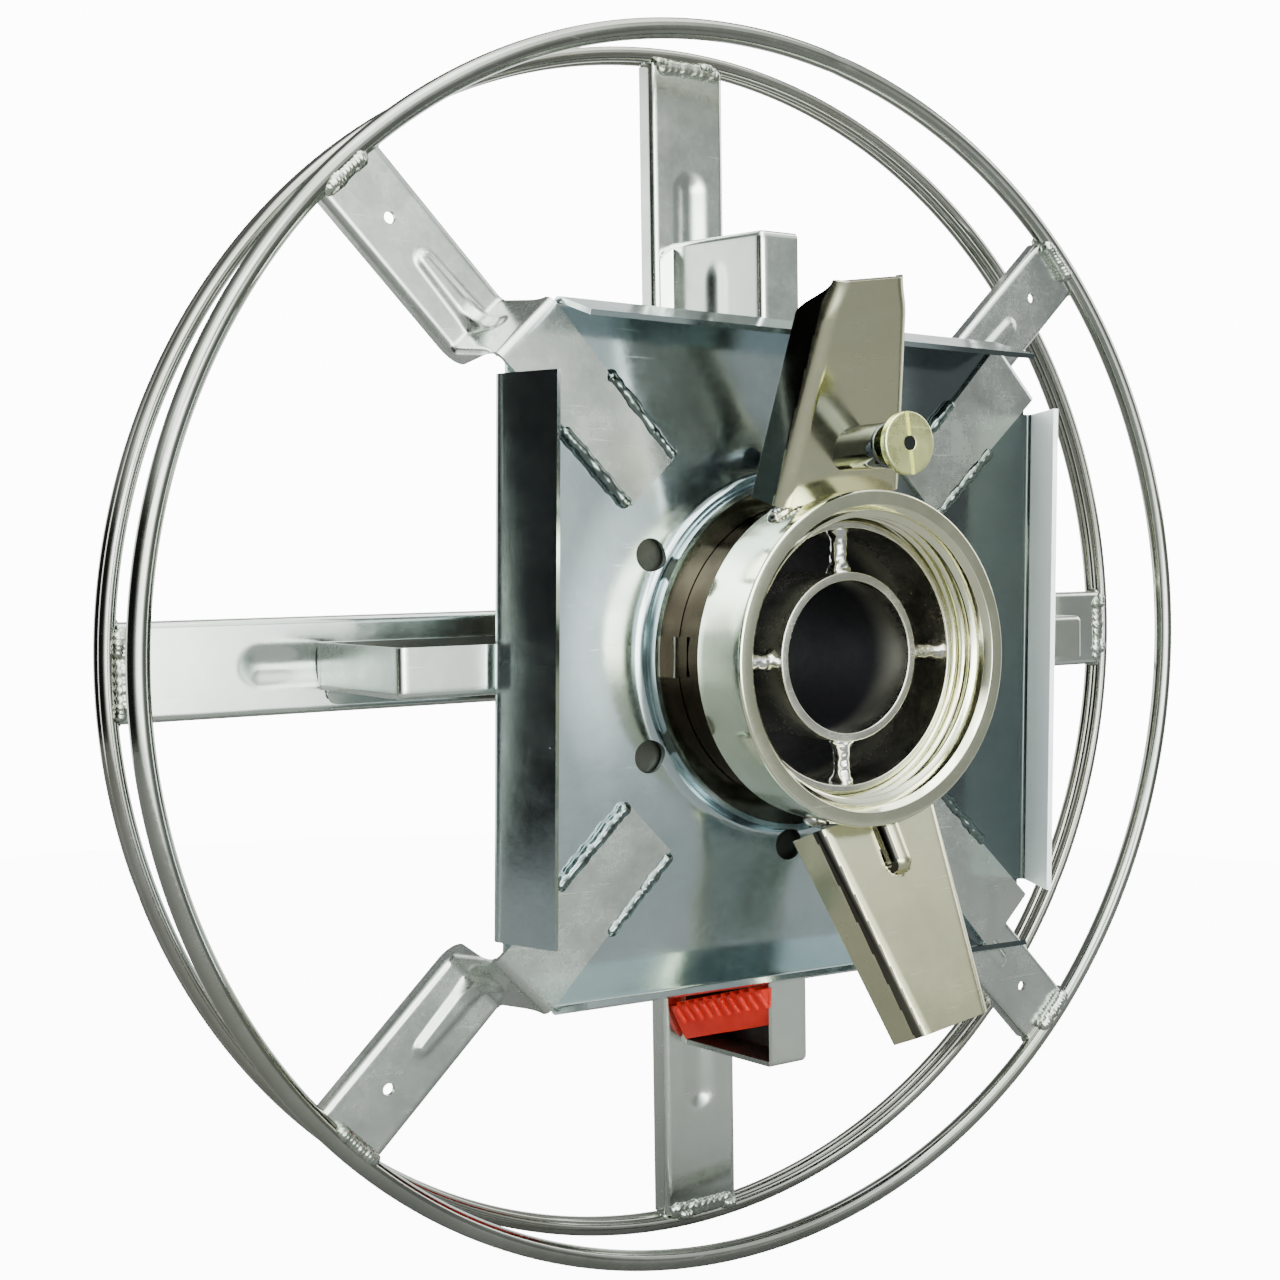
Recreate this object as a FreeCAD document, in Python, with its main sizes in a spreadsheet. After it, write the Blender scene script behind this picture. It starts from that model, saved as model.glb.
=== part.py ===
import FreeCAD, Part
import Sketcher
import math
import os
import re
from FreeCAD import Placement, Rotation, Vector

# Demountable fire hose reel, in millimetres, +Z up.
# The reel turns about the Y axis and is seen along +Y, so forward is -Y.
# Origin: on the axis, at the rear mouth of the shaft tube's bore.
# Every piece is drawn in local axes: x to the right, y up, z forward from that
# rear mouth. FRONT stands the local axes upright.
FRONT = Placement(Vector(), Rotation(Vector(1, 0, 0), 90))

doc = FreeCAD.newDocument("FireHoseReel")

# Driving dimensions
SIZES = {
    # rims
    "ring_radius": 246.0,
    "front_wire_radius": 4.0,
    "hoop_wire_radius": 3.0,
    "hoop_back_plane": 3.5,
    "hoop_spacing": 6.1,
    "ring_setback": 28.7,
    # sheet metal
    "plate": 2.0,
    "bend_radius": 1.5,
    "seat_gap": 0.3,
    "weld_gap": 0.1,
    # rear arms
    "rear_turn": 1.4,
    "rear_arm_width": 36.0,
    "rear_arm_depth": 10.0,
    "rear_arm_face": 12.0,
    "rear_groove_width": 14.0,
    "rear_groove_depth": 3.0,
    "rear_groove_offset": 1.0,
    "rear_groove_overlap": 9.0,
    "rear_groove_inset": 44.0,
    "rib_height": 1.4,
    # core brackets
    "core_radius": 164.0,
    "bracket_flare": 5.0,
    "bracket_setback": 45.2,
    "bracket_web_offset": 9.7,
    "bracket_lip": 18.0,
    "bracket_foot": 5.5,
    "bracket_bend": 3.0,
    "bracket_groove_width": 8.0,
    "bracket_groove_depth": 1.4,
    "bracket_groove_rise": 30.6,
    "bracket_groove_setback": 14.0,
    "bracket_groove_inset": 9.0,
    # hub tubes
    "hub_tube_radius": 50.8,
    "hub_tube_wall": 2.8,
    "shaft_tube_radius": 31.75,
    "shaft_tube_wall": 3.25,
    "hub_tube_length": 116.0,
    "spoke_radius": 4.0,
    "spoke_inset": 6.0,
    # screw thread between hub tube and lever nut
    "pitch": 5.0,
    "thread_height": 2.2,
    "thread_base": 3.0,
    "thread_crest": 1.6,
    "thread_clearance": 0.3,
    "thread_wall": 0.9,
    "thread_setback": 44.0,
    "thread_length": 40.0,
    "thread_phase": 2.5,
    # front flange tray
    "floor_setback": 38.3,
    "tray_half": 129.7,
    "flange_depth": 25.0,
    "side_flange_lean": 11.1,
    "top_flange_lean": 8.1,
    "side_flange_half": 100.0,
    "top_flange_half": 105.0,
    "corner_cut": 163.0,
    "floor_bore_gap": 1.4,
    "neck_wall": 2.0,
    "neck_room": 4.5,
    "neck_height": 10.0,
    "neck_foot": 4.5,
    "neck_foot_rise": 2.5,
    "pin_hole_radius": 6.25,
    "pin_hole_offset": 7.0,
    "pin_hole_count": 6,
    "index_plate_margin": 13.0,
    "index_plate_gap": 2.4,
    "index_plate_thickness": 1.5,
    # front arms
    "front_arm_width": 30.0,
    "front_arm_inner_width": 25.0,
    "front_arm_setback": 23.0,
    "front_fold_outer": 172.0,
    "front_fold_inner": 167.0,
    "front_lip_depth": 7.0,
    "front_rib_width": 5.5,
    "front_rib_inset": 41.0,
    "front_hole_radius": 2.2,
    "front_hole_inset": 25.0,
    # lever nut
    "nut_wall": 7.6,
    "nut_overhang": 16.1,
    "nut_length": 26.6,
    "nut_mouth_flare": 2.1,
    "nut_mouth_depth": 2.4,
    "nut_edge": 1.2,
    "sleeve_wall": 3.3,
    "nut_flange_wall": 7.3,
    "retainer_thickness": 2.0,
    "retainer_inset": 0.8,
    "lug_height": 15.0,
    "lug_depth": 5.0,
    "lug_rise": 6.0,
    # wings of the lever nut
    "wing_turn": 9.1,
    "wing_lean": 22.5,
    "wing_overlap": 2.8,
    "wing_reach": 72.2,
    "wing_root_rise": 17.0,
    "wing_root_half": 32.0,
    "wing_tip_half": 20.4,
    "wing_depth": 13.5,
    "wing_plate": 2.5,
    "wing_bend": 4.5,
    "dart_radius": 5.5,
    "dart_length": 17.0,
    # lock pin
    "pin_offset": 15.2,
    "pin_radius": 4.0,
    "pin_tip_gap": 7.3,
    "pin_travel": 7.0,
    "pin_spigot": 2.5,
    "pin_fit": 0.1,
    "barrel_radius": 8.0,
    "barrel_standoff": 36.3,
    "barrel_length": 38.0,
    "barrel_wall": 1.8,
    "barrel_end": 3.0,
    "knob_radius": 11.0,
    "knob_thickness": 3.0,
    "knob_slot": 1.6,
    "knob_slot_depth": 1.0,
    "stop_gap": 0.5,
    "pin_collar_thickness": 2.5,
    "spring_wire_radius": 0.6,
    "spring_turns": 7.0,
    # red grip block
    "grip_thickness": 22.6,
    "grip_height": 15.0,
    "grip_slope": 19.0,
    "grip_lean": 25.5,
    "grip_skew": 13.0,
    "grip_rib_radius": 1.4,
    "grip_rib_count": 9,
}

# Places that follow from the driving dimensions
PLACES = {
    "floor_front": "hub_tube_length - floor_setback",
    "ring_plane": "floor_front - ring_setback",
    "hoop_front_plane": "hoop_back_plane + hoop_spacing",
    "rear_arm_outer": "ring_radius - hoop_wire_radius - weld_gap",
    "front_arm_outer": "ring_radius - front_wire_radius - weld_gap",
    "tray_back": "floor_front - plate",
    "arm_front": "floor_front + plate",
    "bracket_front": "tray_back - seat_gap",
    "bracket_inner_radius": "hub_tube_radius + bracket_setback",
    "bracket_taper": "bracket_flare / (bracket_front - rear_arm_face)",
    "bracket_groove_plane": "rear_arm_face + bracket_groove_rise",
    "bracket_groove_inner": "bracket_inner_radius + bracket_groove_setback",
    "bracket_groove_outer": "core_radius - bracket_groove_inset",
    "rear_groove_inner": "core_radius - rear_groove_overlap",
    "rear_groove_outer": "ring_radius - rear_groove_inset",
    "thread_back": "hub_tube_length - thread_setback",
    "thread_root": "hub_tube_radius + thread_wall",
    "thread_top": "thread_root + thread_height",
    "nut_bore": "thread_top + thread_clearance",
    "nut_radius": "nut_bore + nut_wall",
    "nut_front": "hub_tube_length + nut_overhang",
    "nut_back": "nut_front - nut_length",
    "nut_mouth_radius": "nut_bore + nut_mouth_flare",
    "sleeve_radius": "nut_bore + sleeve_wall",
    "nut_flange_radius": "nut_bore + nut_flange_wall",
    "floor_bore": "nut_bore + floor_bore_gap",
    "neck_bore": "nut_flange_radius + neck_room",
    "neck_radius": "neck_bore + neck_wall",
    "neck_front": "floor_front + neck_height",
    "retainer_back": "neck_front - retainer_inset - retainer_thickness",
    "nut_flange_back": "floor_front + seat_gap",
    "nut_flange_front": "retainer_back - seat_gap",
    "nut_thread_back": "thread_back + thread_phase * pitch",
    "pin_hole_circle": "neck_radius + pin_hole_offset",
    "index_plate_outer": "pin_hole_circle + index_plate_margin",
    "index_plate_bore": "floor_bore + index_plate_gap",
    "front_arm_inner": "neck_radius + front_arm_setback",
    "front_rib_outer": "ring_radius - front_rib_inset",
    "front_hole_place": "ring_radius - front_hole_inset",
    "wing_root": "nut_radius - wing_overlap",
    "wing_root_face": "nut_back + wing_root_rise",
    "wing_length": "(wing_overlap + wing_reach) / cos(wing_lean * 1 deg)",
    "dart_end_face": "wing_root_face + dart_length * tan(wing_lean * 1 deg)",
    "pin_circle": "nut_radius + pin_offset",
    "pin_tip": "floor_front + pin_tip_gap",
    "barrel_back": "floor_front + barrel_standoff",
    "barrel_front": "barrel_back + barrel_length",
    "barrel_bore": "barrel_radius - barrel_wall",
    "collar_back": "barrel_back + barrel_end + pin_travel + stop_gap",
    "spring_back": "collar_back + pin_collar_thickness + weld_gap",
    "spring_front": "barrel_front - barrel_end - weld_gap",
    "spring_radius": "(barrel_bore + pin_radius) / 2",
    "knob_back": "barrel_front + pin_travel + stop_gap",
    "grip_back": "rear_arm_face + plate + seat_gap",
    "grip_front": "bracket_front - plate - seat_gap",
    "grip_outer": "core_radius + bracket_flare - (plate + seat_gap) * (1 + bracket_taper)",
}

sheet = doc.addObject("Spreadsheet::Sheet", "Sizes")
for row, (alias, number) in enumerate(SIZES.items(), start=1):
    sheet.set(f"A{row}", alias)
    sheet.set(f"B{row}", str(number))
    sheet.setAlias(f"B{row}", alias)
doc.recompute()


def size(alias):
    """A driving dimension as the sheet holds it."""
    return float(sheet.get(alias))


def formula(text):
    """Spell out named places, then point each name at its cell."""
    while any(word in PLACES for word in re.findall(r"[a-z_]+", text)):
        text = re.sub(r"[a-z_]+", lambda m: f"({PLACES[m[0]]})" if m[0] in PLACES else m[0], text)
    return re.sub(r"[a-z_]+", lambda m: f"Sizes.{m[0]}" if m[0] in SIZES else m[0], text)


def bind(item, **sizes):
    """Bind properties of an object to formulas of named sizes."""
    for name, text in sizes.items():
        item.setExpression(name, formula(text))
    return item


def move(item, x="0", y="0", z="0"):
    """Bind the place of an object."""
    for axis, text in zip("xyz", (x, y, z)):
        item.setExpression(f"Placement.Base.{axis}", formula(text))
    return item


def box(name, length, width, height, x="0", y="0", z="0"):
    """Box from its low corner."""
    item = bind(doc.addObject("Part::Box", name), Length=length, Width=width, Height=height)
    return move(item, x, y, z)


def cylinder(name, radius, height, x="0", y="0", z="0"):
    """Cylinder along the reel's axis."""
    item = bind(doc.addObject("Part::Cylinder", name), Radius=radius, Height=height)
    return move(item, x, y, z)


def cone(name, low, high, height, z="0"):
    """Cone about the reel's axis, from its low to its high radius."""
    item = bind(doc.addObject("Part::Cone", name), Radius1=low, Radius2=high, Height=height)
    return move(item, z=z)


def torus(name, radius, wire, z="0"):
    """Round ring about the reel's axis."""
    item = bind(doc.addObject("Part::Torus", name), Radius1=radius, Radius2=wire)
    return move(item, z=z)


def fuse(name, *shapes, refine=True):
    """One solid out of several."""
    item = doc.addObject("Part::MultiFuse", name)
    item.Shapes = list(shapes)
    item.Refine = refine
    return item


def cut(name, base, *tools):
    """Base without its tools."""
    item = doc.addObject("Part::Cut", name)
    item.Base = base
    item.Tool = tools[0] if len(tools) == 1 else fuse(name + "Tools", *tools)
    return item


def common(name, *shapes):
    """The space that all shapes share."""
    item = doc.addObject("Part::MultiCommon", name)
    item.Shapes = list(shapes)
    return item


def compound(name, *shapes):
    """Pieces kept as they are, side by side."""
    item = doc.addObject("Part::Compound", name)
    item.Links = list(shapes)
    return item


def rounded_bar(name, width, length, height, x="0", y="0", z="0"):
    """Embossed rib along y with round ends, placed by the middle of its low end."""
    half = f"({width}) / 2"
    bar = box(name + "Bar", width, f"{length} - {width}", height, f"{x} - {half}", f"{y} + {half}", z)
    low = cylinder(name + "Low", half, height, x, f"{y} + {half}", z)
    high = cylinder(name + "High", half, height, x, f"{y} + {length} - {half}", z)
    return fuse(name, bar, low, high)


def draw(sketch, corners):
    """Closed outline: corners are pairs of formulas from the sketch's origin."""
    count = len(corners)
    angles = [math.tau * i / count for i in range(count)]
    spread = [Vector(math.cos(a), math.sin(a), 0) * 50 for a in angles]
    for i in range(count):
        sketch.addGeometry(Part.LineSegment(spread[i], spread[(i + 1) % count]), False)
    for i in range(count):
        sketch.addConstraint(Sketcher.Constraint("Coincident", i, 2, (i + 1) % count, 1))
    for i, corner in enumerate(corners):
        for kind, place, text in zip(("DistanceX", "DistanceY"), spread[i], corner):
            index = sketch.addConstraint(Sketcher.Constraint(kind, -1, 1, i, 1, place))
            sketch.setExpression(f"Constraints[{index}]", formula(text))
    doc.recompute()
    return sketch


def outline(body, name, role, corners, offset="0"):
    """Closed outline on one of a body's own planes, moved along its normal by an offset."""
    sketch = body.newObject("Sketcher::SketchObject", name)
    plane = next(plane for plane in body.Origin.OriginFeatures if plane.Role == role)
    sketch.AttachmentSupport = (plane, [""])
    sketch.MapMode = "FlatFace"
    sketch.setExpression("AttachmentOffset.Base.z", formula(offset))
    return draw(sketch, corners)


def grow(body, name, kind, sketch, length, reverse=False, both=False):
    """Pad or pocket of an outline in a body."""
    item = body.newObject(f"PartDesign::{kind}", name)
    item.Profile = sketch
    item.SideType = "Symmetric" if both else "One side"
    item.Reversed = reverse
    bind(item, Length=length)
    doc.recompute()
    return item


def round_edges(body, name, feature, chosen, radius):
    """Fillet the edges of a feature that a test picks."""
    edges = enumerate(feature.Shape.Edges, start=1)
    item = body.newObject("PartDesign::Fillet", name)
    item.Base = (feature, [f"Edge{number}" for number, edge in edges if chosen(edge)])
    bind(item, Radius=radius)
    doc.recompute()
    return item


def through(sketch, corners, direction):
    """Test for the edges that run through corners of an outline, along a direction."""
    points = [sketch.Placement.multVec(sketch.Geometry[i].StartPoint) for i in corners]

    def chosen(edge):
        run = edge.Vertexes[-1].Point - edge.Vertexes[0].Point
        along = run.Length > 0.1 and run.normalize().cross(direction).Length < 1e-4
        return along and any((edge.CenterOfMass - p).cross(direction).Length < 1e-3 for p in points)

    return chosen


def thread_ridge(name, base, crest, back, length):
    """Helical ridge of trapezoid section, from its base radius to its crest radius."""
    helix = bind(doc.addObject("Part::Helix", name + "Helix"), Pitch="pitch", Height=length, Radius=base)
    move(helix, z=back)
    profile = doc.addObject("Sketcher::SketchObject", name + "Profile")
    profile.Placement.Rotation = Rotation(X_AXIS, 90)
    move(profile, z=back)
    corners = ((base, "-thread_base / 2"), (crest, "-thread_crest / 2"))
    corners += ((crest, "thread_crest / 2"), (base, "thread_base / 2"))
    draw(profile, corners)
    return sweep(name, profile, helix)


def sweep(name, profile, spine):
    """Solid of a profile carried along a spine."""
    item = doc.addObject("Part::Sweep", name)
    item.Sections = [profile]
    item.Spine = (spine, [f"Edge{i + 1}" for i in range(len(spine.Shape.Edges))])
    item.Solid = True
    item.Frenet = True
    return item


X_AXIS, Y_AXIS, Z_AXIS = Vector(1, 0, 0), Vector(0, 1, 0), Vector(0, 0, 1)
SIDES = {"top": 0, "left": 90, "bottom": 180, "right": 270}
SIDES = {side: angle + size("rear_turn") for side, angle in SIDES.items()}
CORNERS = {"upper_left": 45, "lower_left": 135, "lower_right": 225, "upper_right": 315}
NODES = []


def about_axis(angle):
    """Turn about the reel's axis, anticlockwise as seen from the front."""
    return Placement(Vector(), Rotation(Z_AXIS, angle))


def node(name, item, placement=Placement()):
    """Name a finished piece and stand it upright."""
    item.Label = name
    item.Placement = FRONT * placement
    NODES.append(item)
    return item


# Rear rim: two hoops of round wire that lie against each other
def rear_hoops():
    for name, plane in (("rear_hoop_back", "hoop_back_plane"), ("rear_hoop_front", "hoop_front_plane")):
        ring = torus("Wire_" + name, "ring_radius", "hoop_wire_radius", plane)
        node(name, compound("Node_" + name, ring))


# Rear arm: channel with its face to the front and its lips to the rear, from hub tube to hoops.
# A groove is pressed into its face from the bracket outward.
def rear_arm(side, angle):
    half, back = "rear_arm_width / 2", "rear_arm_face - rear_arm_depth"
    inside, face = f"({half} - plate)", "rear_arm_face"
    body = doc.addObject("PartDesign::Body", "RearArm_" + side)
    section = outline(body, "RearArmSection_" + side, "XZ_Plane", (
        (f"-{half}", back), (f"-{half}", face), (half, face), (half, back),
        (inside, back), (inside, "rear_arm_face - plate"),
        (f"-{inside}", "rear_arm_face - plate"), (f"-{inside}", back)))
    pad = grow(body, "RearArmPad_" + side, "Pad", section, "ring_radius", reverse=True)
    round_edges(body, "RearArmBend_" + side, pad, through(section, (1, 2), Y_AXIS), "bend_radius + plate")
    length = "rear_groove_outer - rear_groove_inner"
    groove = rounded_bar("RearGroove_" + side, "rear_groove_width", length, "rear_arm_depth",
                         "rear_groove_offset", "rear_groove_inner", "rear_arm_face - rear_groove_depth")
    swelling = rounded_bar("RearSwelling_" + side, "rear_groove_width + 2 * plate", f"{length} + 2 * plate",
                           "rear_groove_depth + plate / 2", "rear_groove_offset", "rear_groove_inner - plate",
                           "rear_arm_face - rear_groove_depth - plate")
    reach = cylinder("RearArmReach_" + side, "rear_arm_outer", "hub_tube_length")
    hub = cylinder("RearArmHub_" + side, "hub_tube_radius + weld_gap", "hub_tube_length")
    pressed = cut("RearArmPressed_" + side, fuse("RearArmSwollen_" + side, body, swelling), groove)
    trimmed = common("RearArmTrimmed_" + side, pressed, reach)
    node(f"rear_arm_{side}", cut("Node_rear_arm_" + side, trimmed, hub), about_axis(angle))


# Core bracket: folded box on a rear arm that carries the hose, open to one side and to the hub.
# Its outer wall flares to the arm, its web has a groove, and the web's foot lies on the arm.
def core_bracket(side, angle):
    body = doc.addObject("PartDesign::Body", "Bracket_" + side)
    inner, outer, back, front = "bracket_inner_radius", "core_radius", "rear_arm_face", "bracket_front"
    block = outline(body, "BracketBlock_" + side, "YZ_Plane",
                    ((inner, back), (f"{outer} + bracket_flare", back), (outer, front), (inner, front)))
    pad = grow(body, "BracketPad_" + side, "Pad", block, "bracket_lip")
    front_plane = pad.Shape.BoundBox.ZMax

    def bend(edge):
        middle = edge.CenterOfMass
        at_outer = middle.y > size("core_radius") - 1e-3
        at_front = abs(middle.z - front_plane) < 1e-3
        return (at_outer or at_front) if abs(middle.x) < 1e-3 else (at_outer and at_front)

    round_edges(body, "BracketBend_" + side, pad, bend, "bracket_bend")
    inside = outline(body, "BracketInside_" + side, "YZ_Plane", (
        (f"{inner} - plate", f"{back} + plate"),
        (f"{outer} + bracket_flare - plate * (1 + bracket_taper)", f"{back} + plate"),
        (f"{outer} - plate * (1 - bracket_taper)", f"{front} - plate"),
        (f"{inner} - plate", f"{front} - plate")), "plate")
    grow(body, "BracketHollow_" + side, "Pocket", inside, "bracket_lip", reverse=True)
    length = "bracket_groove_outer - bracket_groove_inner"
    groove = rounded_bar("BracketGroove_" + side, "bracket_groove_width", length, "plate")
    groove.Placement.Rotation = Rotation(Y_AXIS, -90)
    move(groove, "bracket_groove_depth", "bracket_groove_inner", "bracket_groove_plane")
    swelling = rounded_bar("BracketSwelling_" + side, "bracket_groove_width + 2 * plate", f"{length} + 2 * plate",
                           "bracket_groove_depth + plate / 2")
    swelling.Placement.Rotation = Rotation(Y_AXIS, -90)
    move(swelling, "bracket_groove_depth + plate", "bracket_groove_inner - plate", "bracket_groove_plane")
    foot = box("BracketFoot_" + side, "bracket_foot + plate", f"{outer} + bracket_flare - bracket_bend - {inner}",
               "plate", "-bracket_foot", inner, back)
    shift = Placement(Vector(-size("bracket_web_offset"), 0, 0), Rotation())
    folded = fuse("BracketFolded_" + side, body, swelling, foot)
    node(f"core_bracket_{side}", cut("Node_core_bracket_" + side, folded, groove), about_axis(angle) * shift)


# Hub tube with the screw thread for the lever nut
def hub_tube():
    tube = cylinder("HubTubeWall", "hub_tube_radius", "hub_tube_length")
    bore = cylinder("HubTubeBore", "hub_tube_radius - hub_tube_wall", "hub_tube_length")
    band = cylinder("ThreadBand", "thread_root", "thread_length + thread_base", z="thread_back - thread_base / 2")
    ridge = thread_ridge("TubeThread", "thread_root - thread_wall / 2", "thread_top", "thread_back", "thread_length")
    node("threaded_hub_tube", cut("Node_threaded_hub_tube", fuse("HubTubeOuter", tube, band, ridge), bore))


# Shaft tube: the bore that the reel turns on
def shaft_tube():
    tube = cylinder("ShaftTubeWall", "shaft_tube_radius", "hub_tube_length")
    bore = cylinder("ShaftTubeBore", "shaft_tube_radius - shaft_tube_wall", "hub_tube_length")
    node("shaft_tube", cut("Node_shaft_tube", tube, bore))


# Spokes: four round stubs between the two tubes, at the front and at the rear
def hub_spokes(name, plane):
    rods = []
    for side, angle in SIDES.items():
        rod = cylinder(f"Rod_{name}_{side}", "spoke_radius", "hub_tube_radius", z=plane)
        rod.Placement.Rotation = Rotation(Z_AXIS, angle) * Rotation(X_AXIS, -90)
        rods.append(rod)
    outer = cylinder("Reach_" + name, "hub_tube_radius - hub_tube_wall - weld_gap", "hub_tube_length")
    inner = cylinder("Clear_" + name, "shaft_tube_radius + weld_gap", "hub_tube_length")
    node(name, cut("Node_" + name, common("Trimmed_" + name, fuse("Star_" + name, *rods), outer), inner))


# Red grip block: ribbed wedge in the bottom core bracket, slanted on the bracket's open side
def red_grip_block():
    body = doc.addObject("PartDesign::Body", "GripBody")
    wedge = outline(body, "GripOutline", "YZ_Plane", (
        ("grip_outer", "grip_back"), ("grip_outer - grip_slope", "grip_front"),
        ("grip_outer - grip_slope - grip_height", "grip_front"), ("grip_outer - grip_height", "grip_back")))
    grow(body, "GripPad", "Pad", wedge, "grip_thickness * 2")
    ribs = []
    for i in range(int(size("grip_rib_count"))):
        share = f"({i} + 1) / (grip_rib_count + 1)"
        rib = cylinder(f"GripRib{i}", "grip_rib_radius", "grip_thickness * 2", "0",
                       f"grip_outer - grip_height - grip_slope * {share}",
                       f"grip_back + (grip_front - grip_back) * {share}")
        rib.Placement.Rotation = Rotation(Y_AXIS, 90)
        ribs.append(rib)
    beyond = box("GripBeyondBlock", "grip_thickness * 3", "grip_outer * 2", "grip_outer * 2",
                 "0", "-grip_outer", "-grip_outer")
    slant = compound("GripBeyond", beyond)
    slant.Placement.Rotation = Rotation(Y_AXIS, -size("grip_skew")) * Rotation(Z_AXIS, size("grip_lean"))
    move(slant, "grip_thickness", "grip_outer - grip_height", "grip_back")
    from_web = size("plate") + size("bracket_groove_depth") + size("seat_gap")
    shift = Placement(Vector(from_web - size("bracket_web_offset"), 0, 0), Rotation())
    block = cut("Node_red_grip_block", fuse("GripRibbed", body, *ribs), slant)
    node("red_grip_block", block, about_axis(SIDES["bottom"]) * shift)


# Front ring
def front_ring():
    ring = torus("RingWire", "ring_radius", "front_wire_radius", "ring_plane")
    node("front_ring", compound("Node_front_ring", ring))


# Front arm: face in the ring's plane, folded forward and then inward onto the tray's floor
def front_arm(corner, angle):
    body = doc.addObject("PartDesign::Body", "FrontArm_" + corner)
    lip_back = "ring_plane - front_lip_depth"
    profile = outline(body, "FrontArmProfile_" + corner, "YZ_Plane", (
        ("ring_radius", "ring_plane"), ("front_fold_outer", "ring_plane"),
        ("front_fold_inner", "arm_front"), ("front_arm_inner", "arm_front"),
        ("front_arm_inner", "floor_front"), ("front_fold_inner - plate", "floor_front"),
        ("front_fold_inner - front_lip_depth", "tray_back - stop_gap"),
        ("front_fold_outer - front_lip_depth", lip_back), ("ring_radius", lip_back)))
    pad = grow(body, "FrontArmPad_" + corner, "Pad", profile, "front_arm_width", both=True)
    bends = round_edges(body, "FrontArmBendIn_" + corner, pad, through(profile, (1,), X_AXIS), "bend_radius")
    round_edges(body, "FrontArmBendOut_" + corner, bends, through(profile, (2,), X_AXIS), "bend_radius + plate")
    behind = outline(body, "FrontArmBehind_" + corner, "YZ_Plane", (
        ("ring_radius + plate", "ring_plane - plate"), ("front_fold_outer - plate", "ring_plane - plate"),
        ("front_fold_inner - plate", "floor_front"), ("front_arm_inner", "floor_front"),
        ("front_arm_inner", f"{lip_back} - plate"), ("ring_radius + plate", f"{lip_back} - plate")))
    grow(body, "FrontArmChannel_" + corner, "Pocket", behind, "front_arm_width - 2 * plate", both=True)
    for side, sign in (("A", "-"), ("B", "")):
        taper = outline(body, f"FrontArmTaper{side}_{corner}", "XY_Plane", (
            (f"{sign}front_arm_width / 2", "front_fold_inner - 2 * plate"),
            (f"{sign}front_arm_inner_width / 2", "front_arm_inner - plate"),
            (f"{sign}front_arm_width", "front_arm_inner - plate"),
            (f"{sign}front_arm_width", "front_fold_inner - 2 * plate")))
        grow(body, f"FrontArmSide{side}_{corner}", "Pocket", taper, "hub_tube_length * 2", both=True)
    outer_rib = rounded_bar("FrontRib_" + corner, "front_rib_width", "front_rib_outer - front_fold_outer + plate",
                            "rib_height + plate / 2", "0", "front_fold_outer - plate", "ring_plane - plate / 2")
    reach = cylinder("FrontArmReach_" + corner, "front_arm_outer", "hub_tube_length")
    hole = cylinder("FrontArmHole_" + corner, "front_hole_radius", "hub_tube_length", y="front_hole_place")
    ribbed = fuse("FrontArmRibbed_" + corner, body, outer_rib)
    trimmed = common("FrontArmTrimmed_" + corner, ribbed, reach)
    node(f"front_arm_{corner}", cut("Node_front_arm_" + corner, trimmed, hole), about_axis(angle))


# Strip of sheet with both ends folded forward, leaning inward: half of the tray
def tray_strip(name, role, lean, half_width, along):
    body = doc.addObject("PartDesign::Body", name)
    lip_front, edge = "floor_front + flange_depth", f"(tray_half - {lean})"
    section = outline(body, name + "Section", role, (
        (f"-{edge}", lip_front), ("-tray_half", "tray_back"), ("tray_half", "tray_back"), (edge, lip_front),
        (f"{edge} - plate", lip_front), ("tray_half - plate", "floor_front"),
        ("plate - tray_half", "floor_front"), (f"plate - {edge}", lip_front)))
    pad = grow(body, name + "Pad", "Pad", section, f"2 * {half_width}", both=True)
    outside = round_edges(body, name + "BendOut", pad, through(section, (1, 2), along), "bend_radius + plate")
    round_edges(body, name + "BendIn", outside, through(section, (5, 6), along), "bend_radius")
    return body


# Tray: pressed plate with four leaning flanges, a neck and the holes for the lock pin
def tray():
    sides = tray_strip("TraySides", "XZ_Plane", "side_flange_lean", "side_flange_half", Y_AXIS)
    ends = tray_strip("TrayEnds", "YZ_Plane", "top_flange_lean", "top_flange_half", X_AXIS)
    inside = "(tray_half - 2 * plate)"
    square = box("FloorSquare", f"2 * {inside}", f"2 * {inside}", "plate", f"-{inside}", f"-{inside}", "tray_back")
    corners = box("FloorCorners", "2 * corner_cut", "2 * corner_cut", "plate", z="tray_back")
    corners.Placement.Rotation = Rotation(Z_AXIS, 45)
    move(corners, "0", "-corner_cut * sqrt(2)", "tray_back")
    floor = common("Floor", square, corners)
    foot = cone("NeckFoot", "neck_radius + neck_foot", "neck_radius", "neck_foot_rise", "floor_front")
    neck = cylinder("NeckWall", "neck_radius", "neck_height - neck_wall / 2", z="floor_front")
    rim = torus("NeckRim", "neck_radius - neck_wall / 2", "neck_wall / 2", "neck_front - neck_wall / 2")
    solid = fuse("TraySolid", sides, ends, floor, foot, neck, rim)
    tools = [cylinder("FloorBore", "floor_bore", "hub_tube_length"),
             cylinder("NeckBore", "neck_bore", "neck_height - neck_wall / 2", z="floor_front")]
    for i in range(int(size("pin_hole_count"))):
        turn = f"360 deg * ({i} + 1 / 2) / pin_hole_count"
        tools.append(cylinder(f"PinHole{i}", "pin_hole_radius", "hub_tube_length",
                              f"pin_hole_circle * cos({turn})", f"pin_hole_circle * sin({turn})"))
    node("tray", cut("Node_tray", solid, *tools))


# Index plate: ring behind the tray that closes the pin holes
def index_plate():
    back = "tray_back - index_plate_thickness"
    disc = cylinder("IndexDisc", "index_plate_outer", "index_plate_thickness", z=back)
    bore = cylinder("IndexBore", "index_plate_bore", "index_plate_thickness", z=back)
    node("index_plate", cut("Node_index_plate", disc, bore))


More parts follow.
